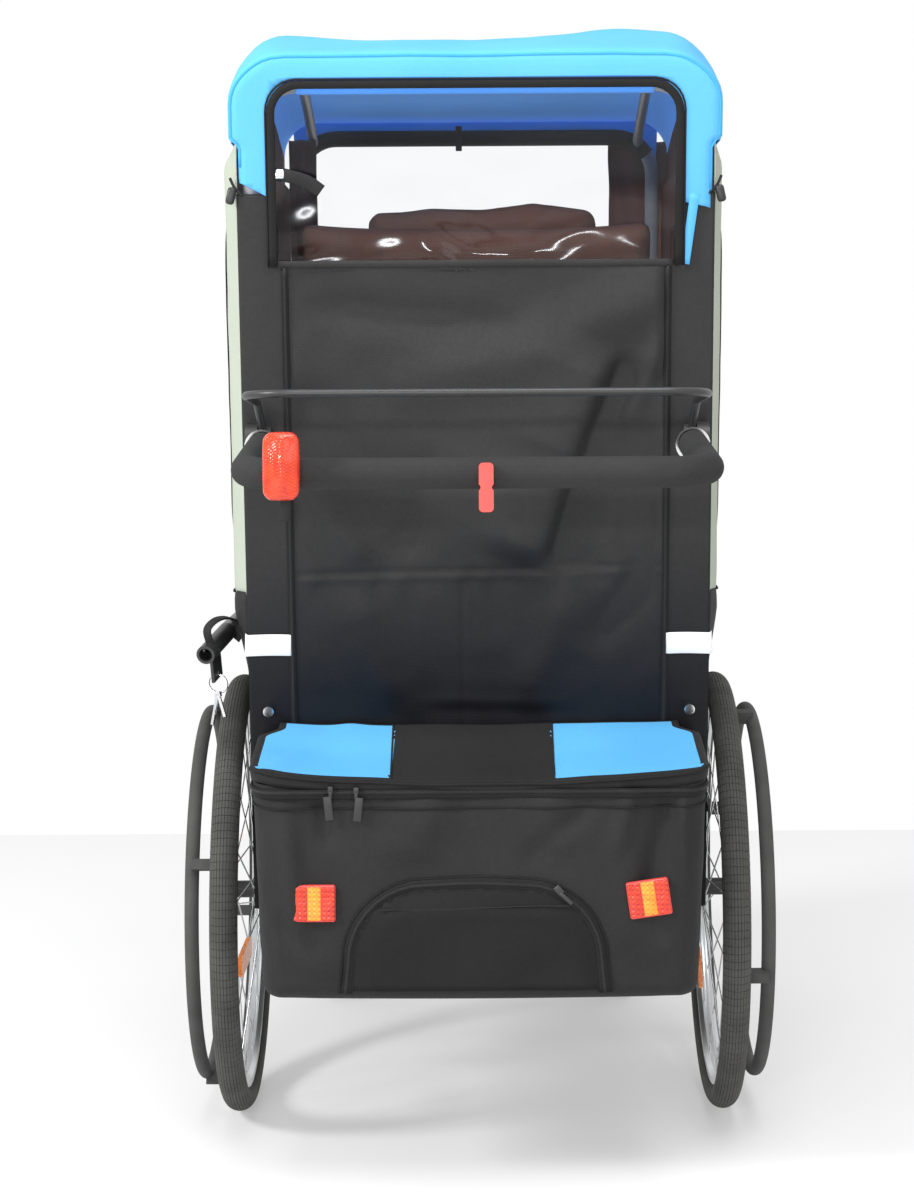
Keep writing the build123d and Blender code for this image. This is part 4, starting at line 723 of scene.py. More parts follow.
def make_window():
    piece(strip(window_ring(CANOPY_OUT - 0.5, 3.5), 10.5, 2.4, WALL_OUT), "window_binding", BINDING)
    piece(cordlike(window_ring(CANOPY_OUT + 1.0, -3), 1.2, WALL_OUT), "window_piping", BINDING)

    def film(u, v):
        x, z = -268 + 536 * u, 1166 + 243 * v
        pull = ease(0, 0.12, u) * ease(0, 0.12, 1 - u) * ease(0, 0.1, v) * ease(0, 0.15, 1 - v)
        low = ease(0.62, 0.12, v)
        drift = ripple((x, z, 0), 95)
        wave = 5.2 * math.sin(z / 13.0 + 1.5 * math.sin(x / 46 + 0.8) + 1.6 * drift)
        wave *= low * (0.4 + abs(ripple((x, z, 4), 80)) * 1.6)
        wave += 3.4 * math.sin(x / 66 - z / 30 + 2 * drift) * low
        wave += 1.2 * ripple((x, z, 2), 70)
        return on_wall(x, z, 0.5 - 3.0 * pull + pull * wave)

    bm = grid(110, 60, film)
    turn_towards(bm, WALL_OUT)
    sheet(bm, "window_film", CLEAR, (0.545, 0.252), "stretched", ["rear_panel", "canopy"], slot="clear_sheet",
          replaces=("rear_window",), thick=0.5)
    path = [on_wall(WINDOW_HALF + 4 + 12 * (z - 1174) / 88, z, CANOPY_OUT - 1.5) for z in range(1174, 1270, 8)]
    piece(strip(path, 12.0, 2.0, WALL_OUT), "canopy_edge_strip", BLUE, "blue_fabric")


def bend_drop(x, half, radius):
    """How far a bar with bent ends has dropped at x."""
    over = max(0.0, abs(x) - (half - radius))
    return radius - math.sqrt(max(0.0, radius * radius - over * over))


def make_valance():
    """Roof's front drop, sewn round the top bar of the front hoop, with the curtains behind it."""
    low, high = box_mm("front_hoop")
    bar_y, bar_z, half = low.y + HOOP_R, high.z - HOOP_R, high.x - HOOP_R
    sleeve_out = Vector((0, -1, 0.3))
    bar = []
    for k in range(61):
        x = -half + 2 * half * k / 60
        drop = bend_drop(x, half, HOOP_BEND)
        if drop < 0.75 * HOOP_BEND:
            bar.append(Vector((x, bar_y + drop * math.sin(POST_LEAN), bar_z - drop * math.cos(POST_LEAN))))
    piece(cordlike(bar, HOOP_R + 2.2, sleeve_out), "front_sleeve", BINDING)
    rear_low, rear_high = box_mm("rear_hoop")
    rear_half = rear_high.x - HOOP_R - HOOP_BEND
    rear = [Vector((rear_half * (k / 30 - 1), rear_low.y + HOOP_R, rear_high.z - HOOP_R)) for k in range(61)]
    # The rear sleeve takes the underside cloth, whose emission is a painted glow.
    piece(cordlike(rear, HOOP_R + 2.2, sleeve_out), "rear_sleeve", GLOWING_UNDERSIDE, "blue_fabric")

    def drop_cloth(u, v):
        x = -296 + 592 * u
        fall, foot = bend_drop(x, ROOF_HALF, ROOF_CORNER), bend_drop(x, half, HOOP_BEND)
        top = roof_place((x, ROOF_LENGTH, ROOF_RISE - fall)) + Vector((0, -1, -1.5))
        end = Vector((x * 0.985, bar_y + foot * math.sin(POST_LEAN), bar_z + HOOP_R + 1.5 - foot * math.cos(POST_LEAN)))
        return top.lerp(end, v) + Vector((0, -4 * math.sin(math.pi * v) * (1 + ripple((x, 0, 0), 50)), 0))

    bm = grid(60, 6, drop_cloth)
    turn_towards(bm, BACK)
    sheet(bm, "front_valance", BLUE, (0.60, 0.045), "stretched", ["front_hoop", "canopy"], slot="blue_fabric",
          thick=1.4)
    tab = [Vector((-27, bar_y - 15.5, bar_z + 18 - 4 * k)) for k in range(11)]
    piece(strip(tab, 10.0, 2.0, BACK), "front_tab", STRAP)
    for name, near, far, ahead in (("left", -298.0, -256.0, -34.0), ("right", 218.0, 322.0, 19.0)):
        def gathered(u, v):
            z = 585.0 + 835.0 * v
            x = near + (far - near) * u + 3.0 * ripple((u * 80, z, near), 70, 1.3)
            return Vector((x, post_y(z) + ahead + 8 * math.sin(u * 11 + 0.6 * ripple((u, z, near), 120)), z))

        bm = grid(40, 60, gathered)
        turn_towards(bm, BACK)
        wide = round(flat_area(bm) / 0.85 * 1.02, 3)
        sheet(bm, f"curtain_{name}", PAINTED_LIGHT_CURTAIN, (wide, 0.855), "hung", ["front_hoop"], slot="seat_fabric", thick=1.5)


# Sides
def side_slack(side, share):
    """How far the slack side stands out along its length."""
    shape = ease(-0.01, 0.06, share) * ease(0, 0.08, 1 - share)
    return (20.0 if side < 0 else 13.0) * shape + 3.0 * math.sin(math.pi * min(1, max(0, share))), shape


def bulge(side, y, z, low, high):
    rear, front = wall_y(z) + 5.0, post_y(z)
    out, shape = side_slack(side, (y - rear) / (front - rear))
    tall = ease(0, 0.08, (high - z) / (high - low))
    loose = 2.0 * ripple((y, z, side * 50), 130, 3.3) + 0.7 * ripple((y, z, side * 9), 45, 6.1)
    return side * (WALL_HALF + out * tall + loose * shape * 0.7 * ease(0, 30, z - low))


def side_hole(y, z):
    """Depth inside the side window's rounded outline."""
    rear, front = wall_y(z) + SIDE_WINDOW_REAR, post_y(z) - SIDE_WINDOW_FRONT
    middle, half = (rear + front) / 2, (front - rear) / 2
    return rounded_inside(y - middle, z, half, SIDE_WINDOW_LOW, SIDE_WINDOW_TOP, SIDE_WINDOW_R)


def make_side(name, side):
    low, high = TUB_TOP - 3, SKIRT_Z + 14
    outwards = Vector((side, 0, 0))

    def place(u, v):
        z = low + (high - low) * v
        rear, front = wall_y(z) + 4.0, post_y(z) + 4
        return Vector((0, rear + (front - rear) * u, z))

    bm = grid(92, 62, place)
    middles = {f: f.calc_center_median() for f in bm.faces}
    remove_faces(bm, [f for f, c in middles.items() if side_hole(c.y, c.z) > 6])
    for vert in bm.verts:
        vert.co.x = bulge(side, vert.co.y, vert.co.z, low, high)
    turn_towards(bm, outwards)
    sheet(bm, f"side_cloth_{name}", GREY, (0.87, 0.61), "stretched", ["rear_hoop", "front_hoop"], slot="grey_fabric",
          replaces=(f"side_panel_{name}",), extra=(LINING,), thick=1.8, lined=True)

    def film(u, v):
        z = low + 48 + (high - low - 116) * v
        rear, front = wall_y(z) + 58, post_y(z) - 54
        y = rear + (front - rear) * u
        return Vector((bulge(side, y, z, low, high) - side * (2.4 - 0.8 * ripple((y, z, side), 60)), y, z))

    bm = grid(70, 40, film)
    turn_towards(bm, outwards)
    sheet(bm, f"side_film_{name}", SMOKED, (0.76, 0.50), "stretched", [f"side_cloth_{name}"], slot="clear_sheet",
          replaces=(f"side_window_{name}",), thick=0.5)
    outline, r = [], SIDE_WINDOW_R
    for ahead, above, start in ((1, 1, 0), (0, 1, 90), (0, 0, 180), (1, 0, 270)):
        for k in range(9):
            a = math.radians(start + 90 * k / 8)
            z = (SIDE_WINDOW_TOP - r if above else SIDE_WINDOW_LOW + r) + r * math.sin(a)
            edge = post_y(z) - SIDE_WINDOW_FRONT - r if ahead else wall_y(z) + SIDE_WINDOW_REAR + r
            outline.append((edge + r * math.cos(a), z))
    ring = []
    for (y0, z0), (y1, z1) in zip(outline, outline[1:] + outline[:1]):
        count = max(1, int(math.hypot(y1 - y0, z1 - z0) / 14))
        ring += [(y0 + (y1 - y0) * k / count, z0 + (z1 - z0) * k / count) for k in range(count)]
    path = [Vector((bulge(side, y, z, low, high) + side * 0.3, y, z)) for y, z in ring]
    piece(strip(path, 20.0, 2.0, outwards, closed=True), f"side_binding_{name}", BINDING)


# Tub
def nose_y(z):
    """Front of the tub: an upright nose, a sloping apron, then back to the posts."""
    if z < NOSE_Z:
        return NOSE_Y
    if z < APRON_TOP:
        return NOSE_Y - (z - NOSE_Z) / (APRON_TOP - NOSE_Z) * (NOSE_Y - (post_y(APRON_TOP) + APRON_AHEAD))
    return post_y(z) + APRON_AHEAD * ease(40, 0, z - APRON_TOP)


def make_tub():
    length, tall, apron_rise = 900.0, TUB_TOP - FLOOR_Z, APRON_TOP - FLOOR_Z
    bm = block((2 * WALL_HALF, length, tall), (0, length / 2, tall / 2), 0)
    low_edges = [e for e in bm.edges if all(v.co.z < 1 for v in e.verts) and abs(e.verts[0].co.x - e.verts[1].co.x) < 1]
    round_edges(bm, low_edges, 20, 4)
    remove_faces(bm, [f for f in bm.faces if f.normal.z > 0.99 or f.normal.y < -0.99])
    slice_grid(bm, 0, -284, 290, 24)
    slice_grid(bm, 1, 15, length, 15)
    slice_grid(bm, 2, 15, tall, 15)
    cut(bm, (0, 0, apron_rise), (0, 0, 1))
    remove_faces(bm, [f for f in bm.faces if f.normal.y > 0.9 and f.calc_center_median().z > apron_rise])
    for vert in bm.verts:
        x, along, rise = vert.co
        z, share, level = FLOOR_Z + rise, along / length, rise / 432
        rear = wall_y(z) + 4.1
        y = rear + (nose_y(z) - rear) * share
        out = ease(0, 0.1, share) * ease(0, 0.08, 1 - share) * ease(0, 0.2, level) * ease(0, 0.05, 1 - level)
        if abs(x) > WALL_HALF - 1:
            near_wheel = ease(60, 220, math.hypot(y, z - WHEEL_R) - 210)
            slack = side_slack(math.copysign(1, x), (y - rear) / (post_y(z) - rear))[0] * ease(0.68, 1.0, rise / tall)
            swell = 5.0 * near_wheel + 1.4 * ripple((y, z, x), 90, 1.1) * near_wheel
            x += math.copysign(swell * out + slack, x)
        elif share > 0.99:
            y += 5 * math.sin(math.pi * min(1, rise / apron_rise)) * ease(300, 220, abs(x))
        vert.co = Vector((x, y, z))
    bmesh.ops.recalc_face_normals(bm, faces=bm.faces)
    if sum(f.normal.x * f.calc_center_median().x for f in bm.faces) < 0:
        bmesh.ops.reverse_faces(bm, faces=bm.faces)
    sheet(bm, "tub_cloth", BLACK, (1.47, 1.16), "stretched", ["side_rails", "cross_tubes"], replaces=("tub",),
          thick=2.2)
    rear, front = wall_y(TUB_TOP) + 5.0, post_y(TUB_TOP)
    for name, side in SIDES.items():
        line = []
        for k in range(3, 61):
            x = side * (WALL_HALF + 1.0 + side_slack(side, k / 60)[0])
            line.append(Vector((x, rear + (front - rear) * k / 60, TUB_TOP - 1)))
        piece(cordlike(line, 2.2, Vector((side, 0, 0))), f"side_piping_{name}", BLACK)


# Seat
def puff(obj, voxel, pressure, cap):
    """Swells a closed shape as stuffed cloth and keeps the result in its mesh."""
    remesh = obj.modifiers.new("voxels", "REMESH")
    remesh.mode, remesh.voxel_size = "VOXEL", voxel
    graph = bpy.context.evaluated_depsgraph_get()
    obj.data = bpy.data.meshes.new_from_object(obj.evaluated_get(graph))
    obj.modifiers.clear()
    rest = [v.co.copy() for v in obj.data.vertices]
    cloth_mod = obj.modifiers.new("cloth", "CLOTH")
    cloth_mod.settings.use_pressure = True
    cloth_mod.settings.uniform_pressure_force = pressure
    cloth_mod.settings.effector_weights.gravity = 0
    scene = bpy.context.scene
    for step in range(1, 19):
        scene.frame_set(step)
    graph = bpy.context.evaluated_depsgraph_get()
    swollen = bpy.data.meshes.new_from_object(obj.evaluated_get(graph))
    obj.modifiers.clear()
    for vert, start in zip(swollen.vertices, rest):
        move = vert.co - start
        if move.length > cap:
            vert.co = start + move * (cap / move.length)
    obj.data = swollen
    scene.frame_set(1)
    for poly in obj.data.polygons:
        poly.use_smooth = True


def pad(name, size, centre, edge, turn, node, cap, channels=(), hump=0.0, crest=None):
    """A stuffed pad with sewn channels, about a centre. It swells by cap at most."""
    bm = block(size, Vector((0, 0, 0)), edge, segments=4)
    bmesh.ops.subdivide_edges(bm, edges=bm.edges, cuts=3, use_grid_fill=True)
    half = Vector(size) / 2
    for vert in bm.verts:
        a, b = vert.co.x / half.x, vert.co.z / half.z
        vert.co.y *= 1 + 0.12 * (1 - a * a) * (1 - b * b)
        vert.co.x *= 1 - 0.018 * (1 - b * b)
        vert.co.z *= 1 - 0.02 * (1 - a * a)
        if vert.co.z > 0:
            vert.co.z *= math.sqrt(1 - hump * min(1.0, a * a) ** 2)
            vert.co.z += crest(vert.co.x) * b if crest else 0.0
    place = TO_FRAME @ Matrix.Translation(centre) @ turn
    bmesh.ops.transform(bm, matrix=place, verts=bm.verts)
    mesh = bpy.data.meshes.new(name)
    bm.to_mesh(mesh)
    bm.free()
    made = bpy.data.objects.new(name, mesh)
    bpy.context.scene.collection.objects.link(made)
    puff(made, 0.006, 4.0, cap)
    made.data.materials.clear()
    made.data.materials.append(SEAT.material)
    back = place.inverted()
    for vert in made.data.vertices:
        local = back @ vert.co
        for axis, at in channels:
            depth = 5.5 * bell(local[axis] - at, 5.0)
            local.y -= math.copysign(min(depth, abs(local.y) * 0.4), local.y)
        vert.co = place @ local
    soft = made.modifiers.new("soft", "SUBSURF")
    soft.levels = soft.render_levels = 1
    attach(made, "chassis")
    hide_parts(node)


def make_seat():
    low, high = box_mm("seat_cushion")
    size, lying = high - low, Matrix.Rotation(math.radians(90), 4, "X")
    pad("seat_pad", (size.x - 10, size.z - 9, size.y - 12), (low + high) / 2, 16, lying, "seat_cushion", 0.007,
        ((2, -110), (2, 10), (2, 120)))
    lean = Matrix.Rotation(WALL_LEAN, 4, "X")
    low, high = box_mm("seat_back")
    tall = (high.z - low.z) / math.cos(WALL_LEAN) - BACK_T * math.tan(WALL_LEAN)
    pad("seat_back_pad", (high.x - low.x - 10, BACK_T - 9, tall - 14), (low + high) / 2, 14, lean, "seat_back",
        0.006, ((2, -200), (2, -60), (2, 80), (2, 220), (0, -120), (0, 120)))
    low, high = box_mm("headrest")
    tall = (high.z - low.z) / math.cos(WALL_LEAN) - HEADREST_T * math.tan(WALL_LEAN)

    def waves(x):
        return 9 + 7 * bell(x - 88, 55) - 3 * bell(x - 5, 45)

    pad("headrest_pad", (high.x - low.x - 8, HEADREST_T - 9, tall - 8), (low + high) / 2 + Vector((8, 0, 0)), 13, lean,
        "headrest", 0.006, hump=0.62, crest=waves)
    for name, side in SIDES.items():
        path = []
        for k in range(25):
            z = 560 + 560 * k / 24
            y = wall_y(z) + BACK_GAP + BACK_T / math.cos(WALL_LEAN) + 12 + 6 * math.sin(math.pi * k / 24)
            path.append(Vector((side * 95.0 * (1 - 0.25 * k / 24), y, z)))
        piece(strip(path, 38.0, 3.0, Vector((0, 1, 0.2))), f"harness_{name}", STRAP)


# Rear bag
def bag_half(z):
    return BAG_HALF + (z - BAG_FOOT) * BAG_FLARE / (BAG_TOP - BAG_FOOT)


def bag_top(y):
    """Height of the bag's sloping top."""
    back_y = wall_y(BAG_TOP)
    return BAG_TOP - (back_y - y) * BAG_FALL / (back_y - BAG_REAR)


BAG_FOLDS = (  # x, z at both ends, width, height
    (238, 505, 205, 380, 14, -7), (255, 500, 262, 400, 9, 5), (190, 515, 170, 440, 10, 5),
    (-245, 500, -228, 330, 16, 6), (-200, 505, -190, 450, 9, -5), (-60, 505, -90, 430, 30, 5),
    (80, 508, 100, 440, 26, 5), (-255, 330, -180, 285, 16, 5), (225, 330, 262, 280, 14, 5),
    (-265, 420, -236, 300, 10, -5), (140, 500, 60, 430, 12, -4),
)


def bag_relief(x, z):
    return 1.7 * folds(BAG_FOLDS, x, z, -0.2, 0.25) + 2.4 * ripple((x, z, 0), 75, 3.3)


def bag_sag(share):
    return math.sin(math.pi * min(1, share * 0.95 + 0.03)) ** 0.7


def bag_stand(x, z, share):
    """How far the bag's rear stands out."""
    return 3.0 * bag_sag(share) + bag_relief(x, z) + 3.2 * ripple((x, z, 0), 70, 8.8)


def make_bag():
    depth = 200.0
    bm = block((2 * BAG_HALF, depth, BAG_HIGH), (0, depth / 2, BAG_HIGH / 2), 0)
    upright = [e for e in bm.edges if abs(e.verts[0].co.z - e.verts[1].co.z) > 1 and e.verts[0].co.y < 1]
    round_edges(bm, upright, 26, 6)
    keel = [e for e in bm.edges if all(v.co.z < 1 for v in e.verts) and not all(v.co.y > depth - 1 for v in e.verts)]
    round_edges(bm, keel, 18, 5)
    remove_faces(bm, [f for f in bm.faces if f.normal.z > 0.99])
    slice_grid(bm, 0, -245, 250, 8)
    slice_grid(bm, 1, 28, depth, 12)
    slice_grid(bm, 2, 20, BAG_HIGH, 8)
    for vert in bm.verts:
        x, along, rise = vert.co
        share, ahead = rise / BAG_HIGH, depth - along
        y_front = wall_y(BAG_FOOT + rise) - 1.0
        y = BAG_REAR + (y_front - BAG_REAR) * along / depth
        z = BAG_FOOT + share * (bag_top(y) - 3 - BAG_FOOT)
        half = bag_half(z)
        x *= half / BAG_HALF
        if along < 30:
            pull = ease(0, 45, half - abs(x)) * ease(30, 0, along)
            y -= pull * ease(0, 0.08, share) * (bag_stand(x, z, share) + 1.1 * ripple((x, z, 0), 28, 9.1))
        else:
            loose = 2.5 * bag_sag(share) + 1.2 * ripple((y, z, x), 60, 2.9)
            x += math.copysign(loose * ease(0, 20, rise) * ease(0, 30, ahead), x)
        foot = ease(60, 0, rise) * ease(250, 200, abs(x)) * ease(0, 40, ahead)
        vert.co = Vector((x, y, z - 2.5 * math.sin(math.pi * (x / 2 / half + 0.5)) * foot))
    bmesh.ops.recalc_face_normals(bm, faces=bm.faces)
    sheet(bm, "bag_shell", BLACK, (1.02, 0.78), "hung", ["wall_knobs", "rear_panel"], replaces=("bag_body",), thick=2.0)
    piece(strip(bag_outline(512.0, 1.0), 12.0, 1.6, away_from_bag), "bag_zip_tape", BINDING)
    piece(strip(bag_outline(514.0, 2.2), 4.2, 1.6, away_from_bag), "bag_zip_coil", ZIP)
    piece(cordlike(bag_outline(494.0, 0.8), 1.2, away_from_bag), "bag_seam", BINDING)


def away_from_bag(point):
    """Outward direction round the bag's outline."""
    inner_x, inner_y = max(-240.0, min(240.0, point.x)), max(-430.0, point.y)
    out = Vector((point.x - inner_x, point.y - inner_y, 0))
    return out.normalized() if out.length > 0.1 else BACK


def bag_outline(z_rear, out):
    """Points round the bag's sides and rear, following its sloping top."""
    half, rear, front, r = bag_half(z_rear) + out, BAG_REAR - out, wall_y(z_rear) - 6, BAG_CORNER
    points = [(-half, front - (front - rear - r) * k / 10) for k in range(10)]
    points += [(-half + r - r * math.cos(a), rear + r - r * math.sin(a)) for a in quarter(8)]
    points += [(-half + r + (2 * half - 2 * r) * k / 50, rear) for k in range(1, 50)]
    points += [(half - r + r * math.sin(a), rear + r - r * math.cos(a)) for a in quarter(8)]
    points += [(half, rear + r + (front - rear - r) * k / 10) for k in range(1, 11)]
    made = []
    for x, y in points:
        stand = 0.0
        if y < rear + 1:
            stand = ease(0, 45, bag_half(z_rear) - abs(x)) * (2.4 + bag_relief(x, z_rear))
        made.append(Vector((x, y - stand, z_rear + (bag_top(y) - bag_top(rear)))))
    return made


def lid_z(x, y):
    """Top of the slack lid."""
    back_y = wall_y(LID_Z) - 2
    share = (back_y - y) / (back_y - BAG_REAR)
    slack = (1 - (x / 290.0) ** 2) * (4 + 12 * share)
    fold = 2.2 * bell(x + 215 - 0.5 * (y + 350), 18)
    return LID_Z - LID_FALL * share - slack + 1.6 * ripple((x, y, 0), 70, 1.9) + fold


def make_lid():
    back_y, rear, r = wall_y(LID_Z - 1) - 3.0, BAG_REAR - 3.0, BAG_CORNER

    def place(u, v):
        y = back_y + (rear - back_y) * (1 - v)
        edge = LID_HALF
        if y < rear + r:
            edge = LID_HALF - r + math.sqrt(max(0, r * r - (rear + r - y) ** 2))
        edge -= 24 * ease(62, 24, back_y - y)
        x = -edge + 2 * edge * u
        return Vector((x, y, lid_z(x, y)))

    bm = grid(120, 40, place)
    skirt_edges = [e for e in bm.edges if e.is_boundary and not all(v.co.y > back_y - 0.5 for v in e.verts)]
    for step, push in ((4, 1.5), (6, -1.0), (6, -1.0)):
        made = bmesh.ops.extrude_edge_only(bm, edges=skirt_edges)["geom"]
        fresh = {g for g in made if isinstance(g, bmesh.types.BMVert)}
        for vert in fresh:
            vert.co += away_from_bag(vert.co) * push + Vector((0, 0, -step))
        skirt_edges = [g for g in made if isinstance(g, bmesh.types.BMEdge) and set(g.verts) <= fresh]
    bmesh.ops.recalc_face_normals(bm, faces=bm.faces)
    turn_towards(bm, Vector((0, 0, 1)))
    bm.normal_update()
    for face in bm.faces:
        c = face.calc_center_median()
        outside = c.x < LID_SPLITS[0] or c.x > LID_SPLITS[1]
        edge = LID_HALF - 8 - 26 * ease(62, 24, back_y - c.y)
        if outside and face.normal.z > 0.8 and abs(c.x) < edge and rear + 9 < c.y < back_y - 3:
            face.material_index = 1
    sheet(bm, "lid_cloth", BLACK, (0.60, 0.23), "laid", ["bag_shell"], replaces=("bag_lid",), extra=(BLUE,), thick=2.0,
          body="lid")
    for n, (split, lean) in enumerate(zip(LID_SPLITS, (-3, 3))):
        path = []
        for k in range(21):
            x, y = split + lean * (0.5 - k / 20), back_y - 4 + (rear - back_y + 12) * k / 20
            path.append(Vector((x, y, lid_z(x, y) + 0.2)))
        piece(cordlike(path, 1.3, Vector((0, 0, 1))), f"lid_patch_seam_{n}", BLACK, body="lid")
    edge = [Vector((p.x, p.y, lid_z(p.x, p.y) - 1.5)) for p in bag_outline(526.0, 4.2)
            if abs(p.x) < 288 and p.y < back_y - 66]
    piece(cordlike(edge, 2.6, away_from_bag), "lid_piping", BINDING, body="lid")
    for n, (x, side) in enumerate(((-185.0, -1), (-153.0, 1))):
        z = lid_z(x, rear) - 17
        bm = block((7, 6, 9), Vector((x, rear - 4.5, z + 4)), 1.5)
        add_block(bm, (4.4, 2.4, 8), Vector((x, rear - 7.5, z - 2)), 0.8)
        add_block(bm, (10.5, 2.6, 30), Vector((x + 2.5 * side, rear - 7.5, z - 19)), 1.1,
                  Matrix.Rotation(math.radians(6 * side), 4, "Y"))
        piece(bm, f"zip_pull_{n}", KNUCKLE, body="lid")


def arch(inset, z_low):
    """D-shaped pocket line from its left foot over the top to its right foot."""
    left, right, top, r = POCKET_LEFT + inset, POCKET_RIGHT - inset, POCKET_TOP - inset, POCKET_R - inset
    points = [(left - 4 * (1 - k / 6), z_low + (top - r - z_low) * k / 6) for k in range(7)]
    points += [(left + r - r * math.cos(a), top - r + r * math.sin(a)) for a in quarter(9, 1)]
    points += [(left + r + (right - left - 2 * r) * k / 10, top + 3 * math.sin(math.pi * k / 10)) for k in range(1, 10)]
    points += [(right - r + r * math.sin(a), top - r + r * math.cos(a)) for a in quarter(9)]
    points += [(right + 4 * k / 6, top - r - (top - r - z_low) * k / 6) for k in range(1, 7)]
    return points


def bag_face(x, z, out):
    """A point that far behind the bag's rear."""
    share = (z - BAG_FOOT) / BAG_HIGH
    pull = ease(0, 45, bag_half(z) - abs(x)) * ease(0, 0.08, share)
    return Vector((x, BAG_REAR - pull * bag_stand(x, z, share) - out, z))


def make_pocket():
    bm = bmesh.new()
    outline = arch(9, 268.0)
    bm.faces.new([bm.verts.new(Vector((x, 0, z))) for x, z in outline])
    slice_grid(bm, 0, -160, 155, 8)
    slice_grid(bm, 2, 276, 400, 8)
    for vert in bm.verts:
        x, z = vert.co.x, vert.co.z
        inside = min(1.0, min(math.hypot(x - px, z - pz) for px, pz in outline) / 26)
        crease = -3.0 * bell(z - 369 - 2 * math.sin(x / 60), 3.0) + 2.2 * bell(z - 362, 6.0)
        stand = 6.0 * ease(0, 1, inside) + crease * ease(0, 1, inside) + 1.0 * ripple((x, z, 0), 40, 3.7) * inside
        vert.co = bag_face(x, z, 1.2 + stand)
    turn_towards(bm, BACK)
    sheet(bm, "pocket_cloth", POCKET, (0.32, 0.13), "stretched", ["bag_shell"], replaces=("bag_pocket",), thick=1.5)
    for name, width, thick, out, finish in (("tape", 14.0, 1.3, 1.0, BINDING), ("coil", 4.2, 1.6, 2.0, ZIP)):
        path = [bag_face(x, z, out) for x, z in arch(6, 264.0)]
        piece(strip(path, width, thick, BACK), f"pocket_zip_{name}", finish)
    for name, inset in (("outer", -2), ("inner", 14)):
        path = [bag_face(x, z, 1.6) for x, z in arch(inset, 264.0)]
        piece(cordlike(path, 1.2, BACK), f"pocket_piping_{name}", BINDING)
    line = [bag_face(x, 371.0 + 2 * math.sin(x / 60), 7.0) for x in range(-128, 118, 6)]
    piece(cordlike(line, 0.9, BACK), "pocket_fold", BLACK)
    at = bag_face(98.0, 392.0, 5.0)
    bm = block((9, 5, 13), at, 1.6, Matrix.Rotation(math.radians(-42), 4, "Y"))
    add_block(bm, (5, 2.2, 20), at + Vector((9, -2.5, -10)), 0.9, Matrix.Rotation(math.radians(-48), 4, "Y"))
    piece(bm, "pocket_zip_slider", BLACK_METAL)


def make_bag_reflectors():
    for n, (x, z, tilt) in enumerate(((-206.0, 377.0, 0.0), (210.0, 381.0, -8.0))):
        turn = Matrix.Rotation(math.radians(tilt), 4, "Y")
        at = Vector((x, BAG_REAR - 2.5, z))
        housing = block((53, 9, 46), at + Vector((0, -2.0, 0)), 3.0, turn)
        piece(housing, f"bag_reflector_base_{n}", RED, "amber", ("bag_reflectors",))
        lens = bmesh.new()
        for off in (-17.2, 17.2):
            add_block(lens, (16.5, 4, 42), at + turn @ Vector((off, -5.2, 0)), 1.2, turn)
        piece(lens, f"bag_reflector_red_{n}", RED_LENS, "amber")
        middle = block((16.5, 4.6, 42), at + turn @ Vector((0, -5.4, 0)), 1.4, turn)
        piece(middle, f"bag_reflector_amber_{n}", YELLOW_LENS, "amber")


# Wheels
def make_tyre(name, side):
    bm = bmesh.new()
    x, middle, tread, around = side * WHEEL_X, WHEEL_R - TYRE_R, 1.0, 28
    ring = []
    for k in range(around):
        a = 2 * math.pi * k / around
        place = (x + TYRE_HALF * math.sin(a), 0, WHEEL_R + middle + (TYRE_R - tread) * math.cos(a))
        ring.append(bm.verts.new(place))
    edges = [bm.edges.new((ring[k], ring[(k + 1) % around])) for k in range(around)]
    bmesh.ops.spin(bm, geom=ring + edges, cent=(x, 0, WHEEL_R), axis=(1, 0, 0), angle=2 * math.pi, steps=184,
                   use_merge=True)
    bmesh.ops.recalc_face_normals(bm, faces=bm.faces)
    middles = {f: f.calc_center_median() for f in bm.faces}
    crown = [f for f, c in middles.items() if math.hypot(c.y, c.z - WHEEL_R) > middle + 5.5]
    bmesh.ops.inset_individual(bm, faces=crown, thickness=0.6, depth=tread)
    piece(bm, f"tyre_tread_{name}", TYRE, "tyre", (f"tyre_{name}",), body=f"wheel_{name}", crease=32)
    valve = bmesh.new()
    for radius, tip, depth, rise in ((3.0, 3.0, 16, 248), (3.8, 3.4, 10, 238)):
        add_rod(valve, radius, depth, Matrix.Translation((x, 0, WHEEL_R + rise)), 12, tip)
    piece(valve, f"valve_{name}", KNUCKLE, "tyre", body=f"wheel_{name}")


# Trim
def make_bands():
    z = 680
    for name, side in SIDES.items():
        path = [on_wall(side * (246 + 59 * k / 20), z + 0.6 * math.sin(k / 5.0), 2.6 + 0.4 * math.sin(k / 4.0))
                for k in range(21)]
        path += [Vector((side * x, wall_y(z) + ahead, z)) for x, ahead in ((307.0, 2), (307.6, 12))]
        round_corner = Vector((side, -0.6, 0)).normalized()
        bm = strip(path, 29.0, 1.0, lambda p, corner=round_corner: WALL_OUT if abs(p.x) < WALL_HALF else corner)
        piece(bm, f"band_{name}", BAND, "band", ("reflective_bands",))


